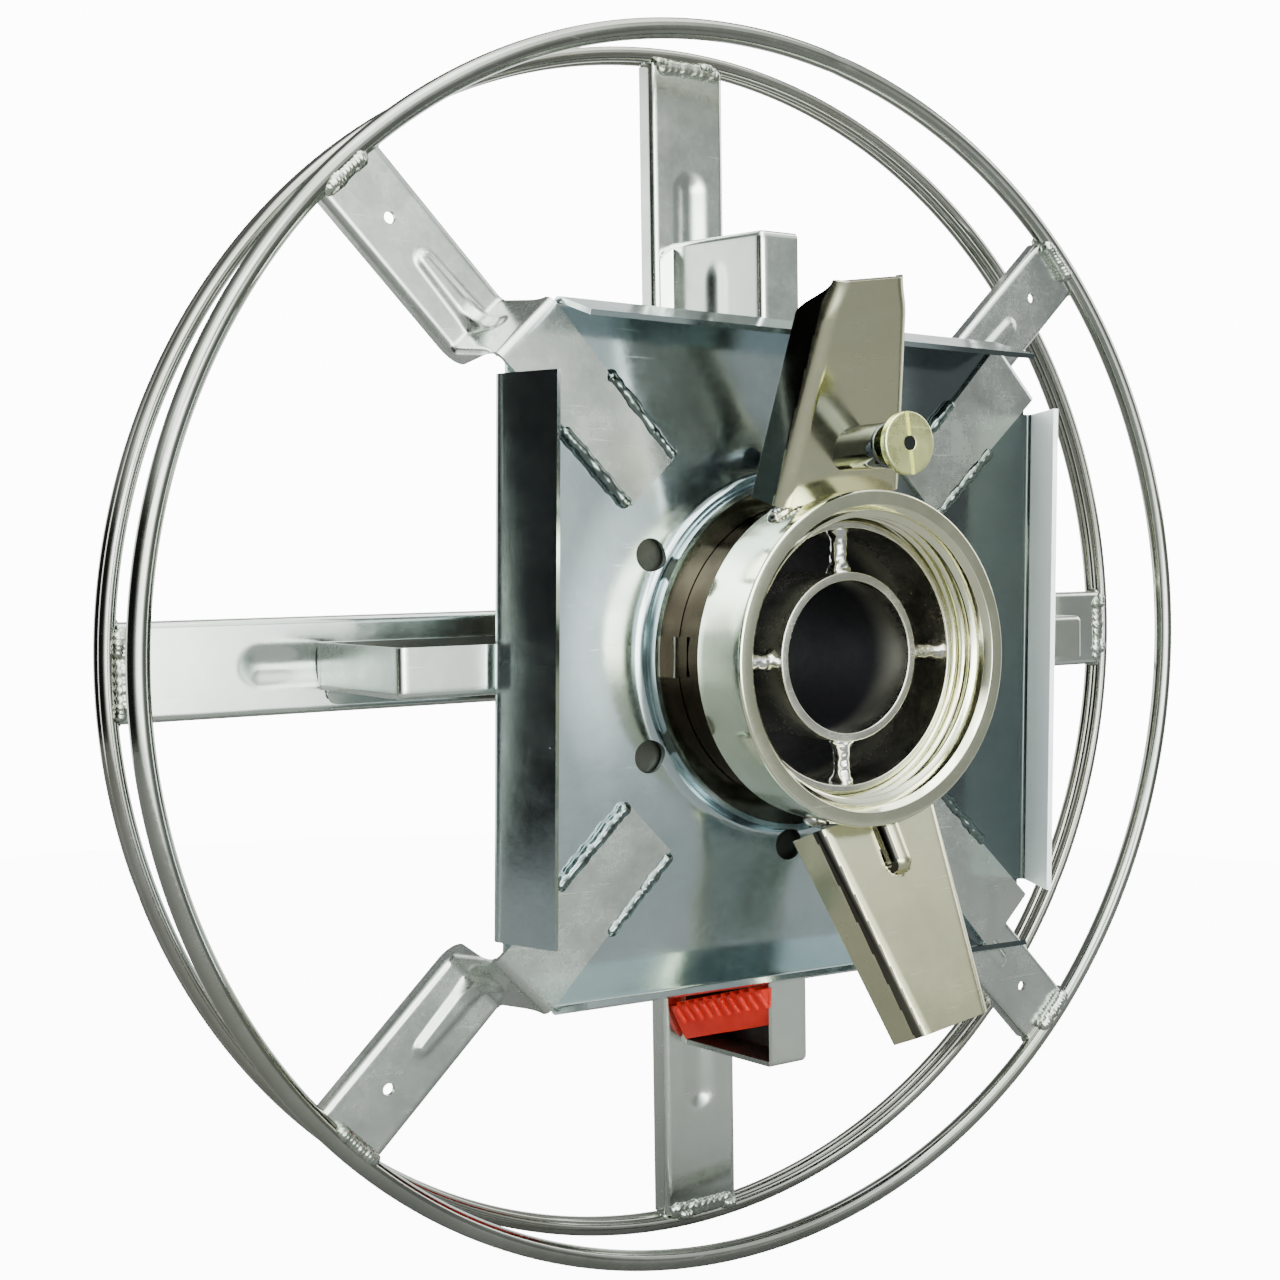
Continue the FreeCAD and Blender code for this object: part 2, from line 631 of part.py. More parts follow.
# Retaining ring in the neck, with the key lug on its left: it holds the lever nut to the tray
def retaining_ring():
    disc = cylinder("RetainerDisc", "neck_bore - weld_gap", "retainer_thickness", z="retainer_back")
    lug = box("KeyLug", "lug_depth", "lug_height", "lug_rise + retainer_thickness",
              "-(sleeve_radius + seat_gap + lug_depth)", "-lug_height / 2", "retainer_back")
    bore = cylinder("RetainerBore", "sleeve_radius + seat_gap", "hub_tube_length", z="retainer_back")
    node("retaining_ring", cut("Node_retaining_ring", fuse("RetainerSolid", disc, lug), bore))


# Lever nut: threaded ring with a sleeve that the retaining ring holds in the neck
def lever_nut():
    ring = cylinder("NutRing", "nut_radius", "nut_length - nut_edge", z="nut_back")
    edge = cone("NutEdge", "nut_radius", "nut_radius - nut_edge", "nut_edge", "nut_front - nut_edge")
    sleeve = cylinder("NutSleeve", "sleeve_radius", "nut_back - nut_flange_back", z="nut_flange_back")
    flange = cylinder("NutFlange", "nut_flange_radius", "nut_flange_front - nut_flange_back", z="nut_flange_back")
    bore = cylinder("NutBore", "nut_bore", "hub_tube_length * 2")
    mouth = cone("NutMouth", "nut_bore", "nut_mouth_radius", "nut_mouth_depth", "nut_front - nut_mouth_depth")
    shell = cut("NutShell", fuse("NutSolid", ring, edge, sleeve, flange), bore, mouth)
    ridge = thread_ridge("NutThread", "nut_bore + thread_wall / 2", "nut_bore - thread_height",
                         "nut_thread_back", "nut_front - nut_thread_back - pitch")
    node("lever_nut", fuse("Node_lever_nut", shell, ridge, refine=False))


# Wing: tapered channel that leans forward from the lever nut, in the wing's own plane
def wing_shape(name):
    body = doc.addObject("PartDesign::Body", "Wing_" + name)
    plate = outline(body, "WingPlate_" + name, "XY_Plane", (
        ("-wing_root_half", "0"), ("wing_root_half", "0"),
        ("wing_tip_half", "wing_length"), ("-wing_tip_half", "wing_length")))
    pad = grow(body, "WingPad_" + name, "Pad", plate, "wing_depth", reverse=True)

    def long_edge(edge):
        middle, ends = edge.CenterOfMass, [vertex.Point.y for vertex in edge.Vertexes]
        return abs(middle.z) < 1e-3 and max(ends) - min(ends) > 1

    round_edges(body, "WingBend_" + name, pad, long_edge, "wing_bend")
    hollow = outline(body, "WingHollow_" + name, "XY_Plane", (
        ("wing_plate - wing_root_half", "-weld_gap"), ("wing_root_half - wing_plate", "-weld_gap"),
        ("wing_tip_half - wing_plate", "wing_length + weld_gap"),
        ("wing_plate - wing_tip_half", "wing_length + weld_gap")), "-wing_plate")
    grow(body, "WingPocket_" + name, "Pocket", hollow, "wing_depth")
    body.Placement.Rotation = Rotation(X_AXIS, size("wing_lean"))
    return move(body, "0", "wing_root", "wing_root_face")


def upper_wing():
    body = wing_shape("upper")
    ring = cylinder("UpperWingSeat", "nut_radius + weld_gap", "hub_tube_length * 2")
    hole = cylinder("UpperWingHole", "barrel_radius + weld_gap", "hub_tube_length * 2", y="pin_circle")
    node("upper_wing", cut("Node_upper_wing", body, ring, hole), about_axis(size("wing_turn")))


def lower_wing():
    body = wing_shape("lower")
    dart = bind(doc.addObject("Part::Cylinder", "DartBar"), Radius="dart_radius",
                Height="dart_length / cos(wing_lean * 1 deg)")
    dart.Placement.Rotation = Rotation(X_AXIS, size("wing_lean") - 90)
    move(dart, "0", "wing_root", "wing_root_face")
    tip = bind(doc.addObject("Part::Sphere", "DartTip"), Radius="dart_radius")
    move(tip, "0", "wing_root + dart_length", "dart_end_face")
    ring = cylinder("LowerWingSeat", "nut_radius + weld_gap", "hub_tube_length * 2")
    node("lower_wing", cut("Node_lower_wing", fuse("WingWithDart", body, dart, tip), ring),
         about_axis(180 + size("wing_turn")))


# Lock pin: barrel through the upper wing, spring, and a pin with its collar and knob
def lock_pin():
    turned = about_axis(size("wing_turn"))
    shell = cylinder("BarrelShell", "barrel_radius", "barrel_front - barrel_back", "0", "pin_circle", "barrel_back")
    room = cylinder("BarrelRoom", "barrel_bore", "barrel_front - barrel_back - 2 * barrel_end",
                    "0", "pin_circle", "barrel_back + barrel_end")
    guide = cylinder("BarrelGuide", "pin_radius + pin_fit", "hub_tube_length * 2", y="pin_circle")
    node("lock_barrel", cut("Node_lock_barrel", shell, room, guide), turned)

    rod = cylinder("PinRod", "pin_radius", "knob_back - pin_tip", "0", "pin_circle", "pin_tip")
    collar = cylinder("PinCollar", "barrel_bore - pin_fit", "pin_collar_thickness", "0", "pin_circle", "collar_back")
    spigot = cylinder("PinSpigot", "pin_spigot", "knob_thickness", "0", "pin_circle", "knob_back")
    node("lock_pin", fuse("Node_lock_pin", rod, collar, spigot), turned)

    disc = cylinder("KnobDisc", "knob_radius", "knob_thickness", "0", "pin_circle", "knob_back")
    eye = cylinder("KnobEye", "pin_spigot + weld_gap / 2", "knob_thickness", "0", "pin_circle", "knob_back")
    slot = box("KnobSlot", "knob_slot", "2 * knob_radius", "knob_slot_depth", "-knob_slot / 2",
               "pin_circle - knob_radius", "knob_back + knob_thickness - knob_slot_depth")
    node("lock_knob", cut("Node_lock_knob", disc, eye, slot), turned)

    helix = bind(doc.addObject("Part::Helix", "SpringHelix"), Radius="spring_radius",
                 Height="spring_front - spring_back - 2 * spring_wire_radius",
                 Pitch="(spring_front - spring_back - 2 * spring_wire_radius) / spring_turns")
    move(helix, "0", "pin_circle", "spring_back + spring_wire_radius")
    wire = bind(doc.addObject("Part::Circle", "SpringWire"), Radius="spring_wire_radius")
    wire.Placement.Rotation = Rotation(X_AXIS, 90)
    move(wire, "spring_radius", "pin_circle", "spring_back + spring_wire_radius")
    doc.recompute()
    node("lock_spring", compound("Node_lock_spring", sweep("SpringCoil", wire, helix)), turned)


rear_hoops()
for side, angle in SIDES.items():
    rear_arm(side, angle)
    core_bracket(side, angle)
hub_tube()
shaft_tube()
hub_spokes("front_hub_spokes", "hub_tube_length - spoke_inset")
hub_spokes("rear_hub_spokes", "spoke_inset")
red_grip_block()
front_ring()
for corner, angle in CORNERS.items():
    front_arm(corner, angle)
tray()
index_plate()
retaining_ring()
lever_nut()
upper_wing()
lower_wing()
lock_pin()
doc.recompute()

for item in doc.Objects:
    if "Invalid" in item.State or "Error" in item.State:
        raise RuntimeError(f"{item.Name} ({item.Label}): {item.State}")
for item in NODES:
    if item.Shape.isNull() or not item.Shape.isValid() or not item.Shape.Solids:
        raise RuntimeError(f"{item.Label} has no valid solid")

os.makedirs("parts", exist_ok=True)
for item in NODES:
    item.Shape.exportStep(f"parts/{item.Label}.step")
    print(item.Label, len(item.Shape.Solids), round(item.Shape.Volume / 1000, 2), "cm3")
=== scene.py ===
import math
import bmesh
import bpy
import numpy as np
from mathutils import Matrix, Vector, noise


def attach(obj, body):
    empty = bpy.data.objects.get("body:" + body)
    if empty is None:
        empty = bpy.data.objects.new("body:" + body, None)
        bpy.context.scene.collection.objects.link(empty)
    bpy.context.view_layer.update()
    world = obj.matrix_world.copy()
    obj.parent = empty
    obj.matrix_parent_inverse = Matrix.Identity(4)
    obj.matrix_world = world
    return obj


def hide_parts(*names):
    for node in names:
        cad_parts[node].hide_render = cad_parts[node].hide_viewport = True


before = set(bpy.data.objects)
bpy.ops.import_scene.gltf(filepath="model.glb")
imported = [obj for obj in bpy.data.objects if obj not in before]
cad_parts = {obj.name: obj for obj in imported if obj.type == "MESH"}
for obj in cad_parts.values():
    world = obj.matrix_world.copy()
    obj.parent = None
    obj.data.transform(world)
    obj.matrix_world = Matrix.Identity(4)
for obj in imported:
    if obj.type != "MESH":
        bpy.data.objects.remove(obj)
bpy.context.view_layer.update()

# ---- Studio ----
# The reel stands on a plain pale floor in a light tent that is open and dark at the sides.
# The camera looks at it from the front left, nearly level, as the photo was taken.
camera_place = Vector((-0.4049, -0.6179, 0.0283))
camera_right, camera_up = Vector((0.8490, -0.5284, 0.0061)), Vector((0.0133, 0.0330, 0.9994))
camera_back = Vector((-0.5283, -0.8483, 0.0350))
lens = bpy.data.cameras.new("camera")
lens.lens, lens.sensor_width = 48.32, 36.0
camera = bpy.data.objects.new("camera", lens)
bpy.context.scene.collection.objects.link(camera)
camera.matrix_world = Matrix.Translation(camera_place) @ Matrix(
    (camera_right, camera_up, camera_back)).transposed().to_4x4()
bpy.context.scene.camera = camera


def place(tree, kind, inputs=(), **settings):
    """A node in a tree. Inputs are numbers, colours or the sockets that feed them."""
    node = tree.nodes.new(kind)
    for name, value in settings.items():
        setattr(node, name, value)
    for key, value in dict(inputs).items():
        if isinstance(value, bpy.types.NodeSocket):
            tree.links.new(value, node.inputs[key])
        else:
            node.inputs[key].default_value = value
    return node


def maths(tree, operation, *values, **settings):
    """Result of a sum on numbers or sockets."""
    return place(tree, "ShaderNodeMath", dict(enumerate(values)), operation=operation, **settings).outputs[0]


def mixed(tree, share, first, second, way="MIX"):
    """A second colour over a first, by a share."""
    return place(tree, "ShaderNodeMix", {0: share, 6: first, 7: second},
                 data_type="RGBA", blend_type=way).outputs[2]


def rescaled(tree, value, low, high, start=0.0, end=1.0, way="LINEAR"):
    """A value carried over from the range low to high to the range start to end."""
    return place(tree, "ShaderNodeMapRange", {0: value, 1: low, 2: high, 3: start, 4: end},
                 interpolation_type=way).outputs[0]


def ramp(tree, factor, stops):
    """Colour ramp: stops are pairs of a place from 0 to 1 and a colour."""
    node = place(tree, "ShaderNodeValToRGB", {0: factor})
    elements = node.color_ramp.elements
    while len(elements) < len(stops):
        elements.new(1.0)
    for element, (position, colour) in zip(elements, stops):
        element.position, element.color = position, (*colour, 1.0)
    return node.outputs[0]


def softbox(name, place_at, aim, width, height, watts):
    """A soft lamp that the camera doesn't see."""
    lamp = bpy.data.lights.new(name, "AREA")
    lamp.shape, lamp.size, lamp.size_y, lamp.energy = "RECTANGLE", width, height, watts
    holder = bpy.data.objects.new(name, lamp)
    bpy.context.scene.collection.objects.link(holder)
    holder.location = place_at
    holder.rotation_euler = (Vector(aim) - Vector(place_at)).to_track_quat("-Z", "Y").to_euler()
    holder.visible_camera = False


softbox("tent_top", (0.1, -0.2, 1.7), (0, 0, 0), 1.9, 1.5, 26)
softbox("tent_left_front", (-0.75, -1.5, 0.75), (0, 0, 0), 0.9, 0.9, 11)
softbox("tent_right", (1.6, -0.4, 0.7), (0, 0, 0), 0.7, 1.0, 9)

tent = bpy.data.worlds.new("tent")
tent.use_nodes = True
bpy.context.scene.world = tent
air = tent.node_tree
all_round = place(air, "ShaderNodeTexCoord").outputs["Generated"]
side = place(air, "ShaderNodeSeparateXYZ", {0: all_round}).outputs
ahead = maths(air, "MULTIPLY", side["Y"], -1.0)
heading = maths(air, "ARCTAN2", side["X"], ahead)
round_tent = rescaled(air, heading, -math.pi, math.pi)


def round_the_tent(levels):
    """Brightness against the heading from the front towards the right, in degrees."""
    tint = (0.94, 1.0, 0.97)
    return ramp(air, round_tent, [((a + 180) / 360, tuple(v * t for t in tint)) for a, v in levels])


walls = round_the_tent([
    (-180, 2.4), (-150, 3.0), (-138, 0.4), (-126, 0.02), (-74, 0.02), (-60, 0.12), (-42, 1.0), (8, 0.9),
    (18, 0.62), (30, 0.45), (38, 0.30), (58, 0.27), (78, 0.15), (94, 1.6), (140, 2.4), (180, 2.4)])
window = round_the_tent([
    (-40, 0.0), (-30, 5.0), (-12, 9.0), (10, 9.5), (16, 4.0), (22, 1.1), (28, 0.6), (33, 0.0)])
below_top = rescaled(air, side["Z"], 0.17, 0.25, 1.0, 0.0, way="SMOOTHSTEP")
above_sill = rescaled(air, side["Z"], -0.17, -0.07, 0.25, 1.0, way="SMOOTHSTEP")
in_window = maths(air, "MULTIPLY", below_top, above_sill)
walls = mixed(air, in_window, walls, window, "ADD")
roof = round_the_tent([
    (-180, 0.2), (-115, 0.3), (-72, 1.2), (-52, 5.0), (4, 5.0), (24, 2.6), (35, 1.2), (80, 1.0), (130, 0.3),
    (180, 0.2)])
white, black = (1, 1, 1), (0, 0, 0)
behind = ramp(air, round_tent, [(0.0, white), (0.15, white), (0.22, black), (0.92, black), (1.0, white)])
from_z = rescaled(air, behind, 0.0, 1.0, 0.24, 0.20)
to_z = rescaled(air, behind, 0.0, 1.0, 0.50, 0.32)
height = rescaled(air, side["Z"], from_z, to_z, way="SMOOTHSTEP")
roofed = mixed(air, height, walls, roof)
seen = place(air, "ShaderNodeLightPath").outputs["Is Camera Ray"]
shown = mixed(air, seen, roofed, (13.0, 13.0, 13.0, 1.0))
air.links.new(shown, air.nodes["Background"].inputs["Color"])

floor_mesh = bpy.data.meshes.new("studio_floor")
ground = bmesh.new()
bmesh.ops.create_circle(ground, cap_ends=True, radius=1.15, segments=96)
ground.to_mesh(floor_mesh)
floor = bpy.data.objects.new("studio_floor", floor_mesh)
floor.location.z = -0.2503
bpy.context.scene.collection.objects.link(floor)
paper = bpy.data.materials.new("floor_paper")
paper.use_nodes = True
tree = paper.node_tree
shader = tree.nodes["Principled BSDF"]
fibre = place(tree, "ShaderNodeTexNoise", {"Scale": 1.5}).outputs[0]
tree.links.new(ramp(tree, fibre, [(0.3, (0.15, 0.155, 0.155)), (0.7, (0.18, 0.18, 0.175))]),
               shader.inputs["Base Color"])
shader.inputs["Roughness"].default_value = 0.75
seen = place(tree, "ShaderNodeLightPath").outputs["Is Camera Ray"]
glow = place(tree, "ShaderNodeEmission", {"Strength": seen, "Color": (11.5, 11.5, 11.5, 1.0)}).outputs[0]
lit = place(tree, "ShaderNodeAddShader", {0: shader.outputs[0], 1: glow}).outputs[0]
tree.links.new(lit, tree.nodes["Material Output"].inputs["Surface"])
floor_mesh.materials.append(paper)


# ---- Rear rim ----
# Two hoops of 6 mm round steel wire lie against each other and are welded to the rear arms.
# Each is bent to a circle, butt-welded, zinc-plated, and never quite true.
ring_radius, hoop_wire = 246.0, 3.0


def effect(name, inputs, outputs):
    """An empty effect with named inputs and outputs, that several finishes use."""
    group = bpy.data.node_groups.new(name, "ShaderNodeTree")
    for label, value in inputs.items():
        kind = "NodeSocketColor" if isinstance(value, tuple) else "NodeSocketFloat"
        group.interface.new_socket(label, in_out="INPUT", socket_type=kind).default_value = value
    for label, kind in outputs.items():
        group.interface.new_socket(label, in_out="OUTPUT", socket_type=kind)
    return group, group.nodes.new("NodeGroupInput").outputs, group.nodes.new("NodeGroupOutput").inputs


def on_piece(tree):
    """Places on the piece itself, in metres."""
    return place(tree, "ShaderNodeTexCoord").outputs["Object"]


def speckle(tree, spot, scale, detail, roughness=0.5, distortion=0.0):
    """Uneven grey of a scale, from 0 to 1."""
    return place(tree, "ShaderNodeTexNoise", {"Vector": spot, "Scale": scale, "Detail": detail,
                                              "Roughness": roughness, "Distortion": distortion}).outputs[0]


# Plating clouds: the clear zinc, a hazy shade of it in soft clouds, and a straw tint in patches
clouds, given, result = effect(
    "plating_clouds",
    {"Clear": (0.8, 0.8, 0.8, 1.0), "Haze": (0.6, 0.6, 0.6, 1.0), "Straw": (0.7, 0.7, 0.5, 1.0),
     "Cloud Scale": 20.0, "Straw Amount": 0.3}, {"Color": "NodeSocketColor"})
spot = on_piece(clouds)
cloud = speckle(clouds, spot, given["Cloud Scale"], 5.0, 0.62, 0.4)
cloud = rescaled(clouds, cloud, 0.34, 0.66)
hazy = mixed(clouds, cloud, given["Clear"], given["Haze"])
patch = speckle(clouds, spot, 9.0, 3.0)
patch = rescaled(clouds, patch, 0.42, 0.68)
patch = maths(clouds, "MULTIPLY", patch, given["Straw Amount"])
tinted = mixed(clouds, patch, hazy, given["Straw"])
clouds.links.new(tinted, result["Color"])

# Handling wear: fine grain, drawn lines and scattered scratches, as gloss and as height
wear, given, result = effect(
    "handling_wear", {"Bright": 0.2, "Dull": 0.4, "Grain Scale": 600.0, "Scratch": 0.4},
    {"Roughness": "NodeSocketFloat", "Height": "NodeSocketFloat"})
spot = on_piece(wear)
grain = speckle(wear, spot, given["Grain Scale"], 3.0)
broad = speckle(wear, spot, 45.0, 6.0, 0.7)
both = maths(wear, "MULTIPLY_ADD", grain, 0.3, broad)
gloss = rescaled(wear, both, 0.5, 0.85, given["Bright"], given["Dull"])
long_way = place(wear, "ShaderNodeMapping", {"Vector": spot, "Rotation": (0.4, 0.9, 0.7),
                                             "Scale": (30.0, 900.0, 900.0)}).outputs[0]
lines = speckle(wear, long_way, 1.0, 2.0)
lines = rescaled(wear, lines, 0.68, 0.76)
lines = maths(wear, "MULTIPLY", lines, given["Scratch"])
wear.links.new(maths(wear, "MULTIPLY_ADD", lines, 0.25, gloss), result["Roughness"])
low = maths(wear, "MULTIPLY_ADD", grain, 0.01, broad)
low = maths(wear, "MULTIPLY_ADD", lines, -0.03, low)
wear.links.new(low, result["Height"])

# Heat stain: the dull olive and brown of plating over a burnt weld, where a mask says
stain, given, result = effect(
    "heat_stain", {"Color": (0.8, 0.8, 0.8, 1.0), "Burnt": (0.3, 0.3, 0.2, 1.0), "Heat": 0.0},
    {"Color": "NodeSocketColor", "Mask": "NodeSocketFloat"})
spot = on_piece(stain)
ragged = speckle(stain, spot, 60.0, 4.0)
ragged = maths(stain, "MULTIPLY", ragged, 2.0)
burn = maths(stain, "MULTIPLY", given["Heat"], ragged, use_clamp=True)
burnt = mixed(stain, burn, given["Color"], given["Burnt"])
stain.links.new(burnt, result["Color"])
stain.links.new(burn, result["Mask"])


def plated(name, clear, haze, straw, bright, dull, cloud_scale=18.0, straw_amount=0.35, grain_scale=700.0,
           scratch=0.4, relief=0.00004, heat=False):
    """Metal finish with clouds, handling wear and, where the mesh is marked, heat stain."""
    material = bpy.data.materials.new(name)
    material.use_nodes = True
    tree = material.node_tree
    shader = tree.nodes["Principled BSDF"]
    shader.inputs["Metallic"].default_value = 1.0
    colour = place(tree, "ShaderNodeGroup", {
        "Clear": (*clear, 1.0), "Haze": (*haze, 1.0), "Straw": (*straw, 1.0),
        "Cloud Scale": cloud_scale, "Straw Amount": straw_amount}, node_tree=clouds).outputs["Color"]
    worn = place(tree, "ShaderNodeGroup", {"Bright": bright, "Dull": dull, "Grain Scale": grain_scale,
                                           "Scratch": scratch}, node_tree=wear).outputs
    roughness = worn["Roughness"]
    if heat:
        marked = place(tree, "ShaderNodeAttribute", attribute_name="heat").outputs["Fac"]
        burnt = place(tree, "ShaderNodeGroup", {
            "Color": colour, "Burnt": (0.30, 0.30, 0.22, 1.0), "Heat": marked}, node_tree=stain).outputs
        colour = burnt["Color"]
        roughness = maths(tree, "MULTIPLY_ADD", burnt["Mask"], 0.25, roughness)
    tree.links.new(colour, shader.inputs["Base Color"])
    tree.links.new(roughness, shader.inputs["Roughness"])
    bump = place(tree, "ShaderNodeBump", {"Strength": 1.0, "Distance": relief, "Height": worn["Height"]})
    tree.links.new(bump.outputs[0], shader.inputs["Normal"])
    return material


def stand(points):
    """Points in millimetres right of the axis, above it and ahead of the rear mouth, stood in the frame."""
    p = np.asarray(points, float)
    return np.stack([p[..., 0], -p[..., 2], p[..., 1]], -1) * 0.001


def turn(points, degrees):
    """Points turned about the reel's axis, anticlockwise as seen from the front."""
    p, a = np.asarray(points, float), math.radians(degrees)
    x, y = p[..., 0], p[..., 1]
    return np.stack([x * math.cos(a) - y * math.sin(a), x * math.sin(a) + y * math.cos(a), p[..., 2]], -1)


def quads(rows, columns, closed_rows=False, closed_columns=False):
    """Faces between neighbouring points of a grid."""
    faces = []
    for r in range(rows if closed_rows else rows - 1):
        for c in range(columns if closed_columns else columns - 1):
            r2, c2 = (r + 1) % rows, (c + 1) % columns
            faces.append((r * columns + c, r * columns + c2, r2 * columns + c2, r2 * columns + c))
    return faces


def piece_of(name, points, faces, finish, solid=True):
    """A smooth mesh piece from points in millimetres. A solid's faces are turned outward."""
    mesh = bpy.data.meshes.new(name)
    mesh.from_pydata([tuple(p) for p in stand(points).reshape(-1, 3)], [], faces)
    mesh.validate()
    work = bmesh.new()
    work.from_mesh(mesh)
    if solid:
        bmesh.ops.remove_doubles(work, verts=work.verts, dist=1e-6)
        bmesh.ops.recalc_face_normals(work, faces=work.faces)
    work.to_mesh(mesh)
    work.free()
    mesh.shade_smooth()
    mesh.materials.append(finish)
    piece = bpy.data.objects.new(name, mesh)
    bpy.context.scene.collection.objects.link(piece)
    return piece


def wobble(point, scale, seed):
    """Smooth random number from -1 to 1 at a place, the same each run."""
    return noise.noise(Vector(point) * scale + Vector((seed * 7.1, seed * 3.3, seed * 5.7)))


def wire_ring(name, plane, wire, seed, weld_angle, finish):
    """Ring of round wire with a ground butt weld."""
    turns, around, weld_reach, untrue, ground_off = 360, 20, 0.9, 0.004, 0.05
    grid = np.zeros((turns, around, 3))
    for i in range(turns):
        angle = math.tau * i / turns
        at_weld = math.exp(-((math.degrees(angle) - weld_angle) / weld_reach) ** 2)
        uneven = wobble((math.cos(angle), math.sin(angle), 0), 9, seed)
        thick = wire * (1 - untrue + untrue * uneven - ground_off * at_weld)
        for j in range(around):
            ring = math.tau * j / around
            radius = ring_radius + thick * math.cos(ring)
            grid[i, j] = (radius * math.cos(angle), radius * math.sin(angle), plane + thick * math.sin(ring))
    return piece_of(name, grid, quads(turns, around, True, True), finish)


hoop_zinc = plated("hoop_zinc", (0.42, 0.42, 0.385), (0.31, 0.31, 0.28), (0.38, 0.36, 0.29), 0.08, 0.18,
                   scratch=0.6)
for name, plane, weld_angle in (("rear_hoop_back", 3.5, 200.0), ("rear_hoop_front", 9.6, 331.0)):
    hoop = wire_ring(name + "_wire", plane, hoop_wire, weld_angle, weld_angle, hoop_zinc)
    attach(hoop, "rear_flange")
    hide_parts(name)


# ---- Rear arms ----
# Four channels of 2 mm sheet run from the hub tube to the hoops, open to the rear.
# A groove is pressed into each face from the bracket outward. They are welded on at both ends.
sides = {"top": 1.4, "left": 91.4, "bottom": 181.4, "right": 271.4}


def run_lengths(line):
    """How far along a line each of its points is."""
    return np.concatenate([[0], np.cumsum(np.linalg.norm(np.diff(line, axis=0), axis=1))])


def bent_line(corners, radii, step, closed=False):
    """Points along straight runs that are joined by round bends."""
    corners = [Vector(c) for c in corners]
    count, line = len(corners), []
    for i, corner in enumerate(corners):
        radius = radii[i] if isinstance(radii, (list, tuple)) else radii
        if radius <= 0 or (not closed and i in (0, count - 1)):
            line.append([corner])
            continue
        back = (corners[i - 1] - corner).normalized()
        on = (corners[(i + 1) % count] - corner).normalized()
        half = back.angle(on) / 2
        reach = radius / math.tan(half)
        centre = corner + (back + on).normalized() * (radius / math.sin(half))
        start, end = corner + back * reach - centre, corner + on * reach - centre
        sweep = math.pi - 2 * half
        bends = max(2, math.ceil(math.degrees(sweep) / 11))
        way = 1 if start.x * end.y - start.y * end.x > 0 else -1
        line.append([centre + Vector((start.x * math.cos(t) - start.y * math.sin(t),
                                      start.x * math.sin(t) + start.y * math.cos(t)))
                     for t in (way * sweep * k / bends for k in range(bends + 1))])
    points = []
    for i, bend in enumerate(line):
        points += bend
        if i + 1 < count or closed:
            start, end = bend[-1], line[(i + 1) % count][0]
            cuts = math.ceil((end - start).length / step)
            points += [start.lerp(end, k / cuts) for k in range(1, cuts)]
    return np.array([tuple(p) for p in points])


def smooth_step(low, high, value):
    """0 below low, 1 above high, and a soft rise between."""
    t = np.clip((np.asarray(value, float) - low) / (high - low), 0, 1)
    return t * t * (3 - 2 * t)


def channel_at(shares, half, lip, bend, fold=90.0):
    """Across and depth of a channel's front face, at shares of its way out from the middle."""
    half, lip, fold = np.asarray(half, float), np.asarray(lip, float), math.radians(fold)
    swept = np.minimum(np.arccos(np.clip(1 - lip / bend, -1, 1)), fold)
    beyond = np.maximum(lip - bend * (1 - math.cos(fold)), 0) / math.sin(fold)
    flat = half - bend * np.sin(swept) - beyond * math.cos(fold)
    out = np.abs(shares) * (flat + bend * swept + beyond)
    on_bend = np.clip((out - flat) / bend, 0, swept)
    on_lip = np.maximum(out - flat - bend * swept, 0)
    across = np.minimum(out, flat) + bend * np.sin(on_bend) + on_lip * math.cos(fold)
    depth = bend * (1 - np.cos(on_bend)) + on_lip * math.sin(fold)
    return np.sign(shares) * across, depth


def sheet_of(name, grid, plate, finish, edge=0.35):
    """Sheet metal from a grid of points on its front face. Its plate lies behind them."""
    rows, columns = grid.shape[:2]
    points = stand(grid)
    middle = points[rows // 2, columns // 2]
    along_row, along_column = points[rows // 2, columns // 2 + 1], points[rows // 2 + 1, columns // 2]
    to_rear = np.cross(along_row - middle, along_column - middle)[1]
    faces = quads(rows, columns)
    if to_rear > 0:
        faces = [face[::-1] for face in faces]
    piece = piece_of(name, grid, faces, finish, solid=False)
    thicken(piece, plate, edge)
    return piece


def thicken(piece, plate, edge=0.35):
    """Give a sheet its thickness, in millimetres, and break its edges."""
    back = piece.modifiers.new("plate", "SOLIDIFY")
    back.thickness, back.offset = plate * 0.001, -1.0
    soft = piece.modifiers.new("edge", "BEVEL")
    soft.width, soft.segments, soft.limit_method = edge * 0.001, 2, "ANGLE"
    soft.angle_limit, soft.harden_normals = math.radians(50), True


def freeze(piece):
    """Keep the piece's mesh as its modifiers leave it."""
    bpy.context.view_layer.update()
    seen_now = piece.evaluated_get(bpy.context.evaluated_depsgraph_get())
    mesh = bpy.data.meshes.new_from_object(seen_now)
    piece.modifiers.clear()
    piece.data = mesh


def rounded_dip(across, along, start, end, half):
    """Depth of a round-bottomed groove at places across and along a sheet, as a share."""
    beyond = np.maximum(np.maximum(start - along, along - end), 0)
    distance = np.clip(np.hypot(across, beyond) / half, 0, 1)
    return 0.5 + 0.5 * np.cos(np.pi * distance)


def mark_heat(piece, spots, reach):
    """Mark how hot each place of a sheet got: spots and reach are in millimetres."""
    places = np.array([v.co for v in piece.data.vertices])
    near = np.full(len(places), 1.0)
    for spot in stand(spots):
        near = np.minimum(near, np.linalg.norm(places - spot, axis=1))
    heat = 1 - smooth_step(0.0, reach * 0.001, near)
    layer = piece.data.attributes.new("heat", "FLOAT", "POINT")
    layer.data.foreach_set("value", heat.astype(np.float32))


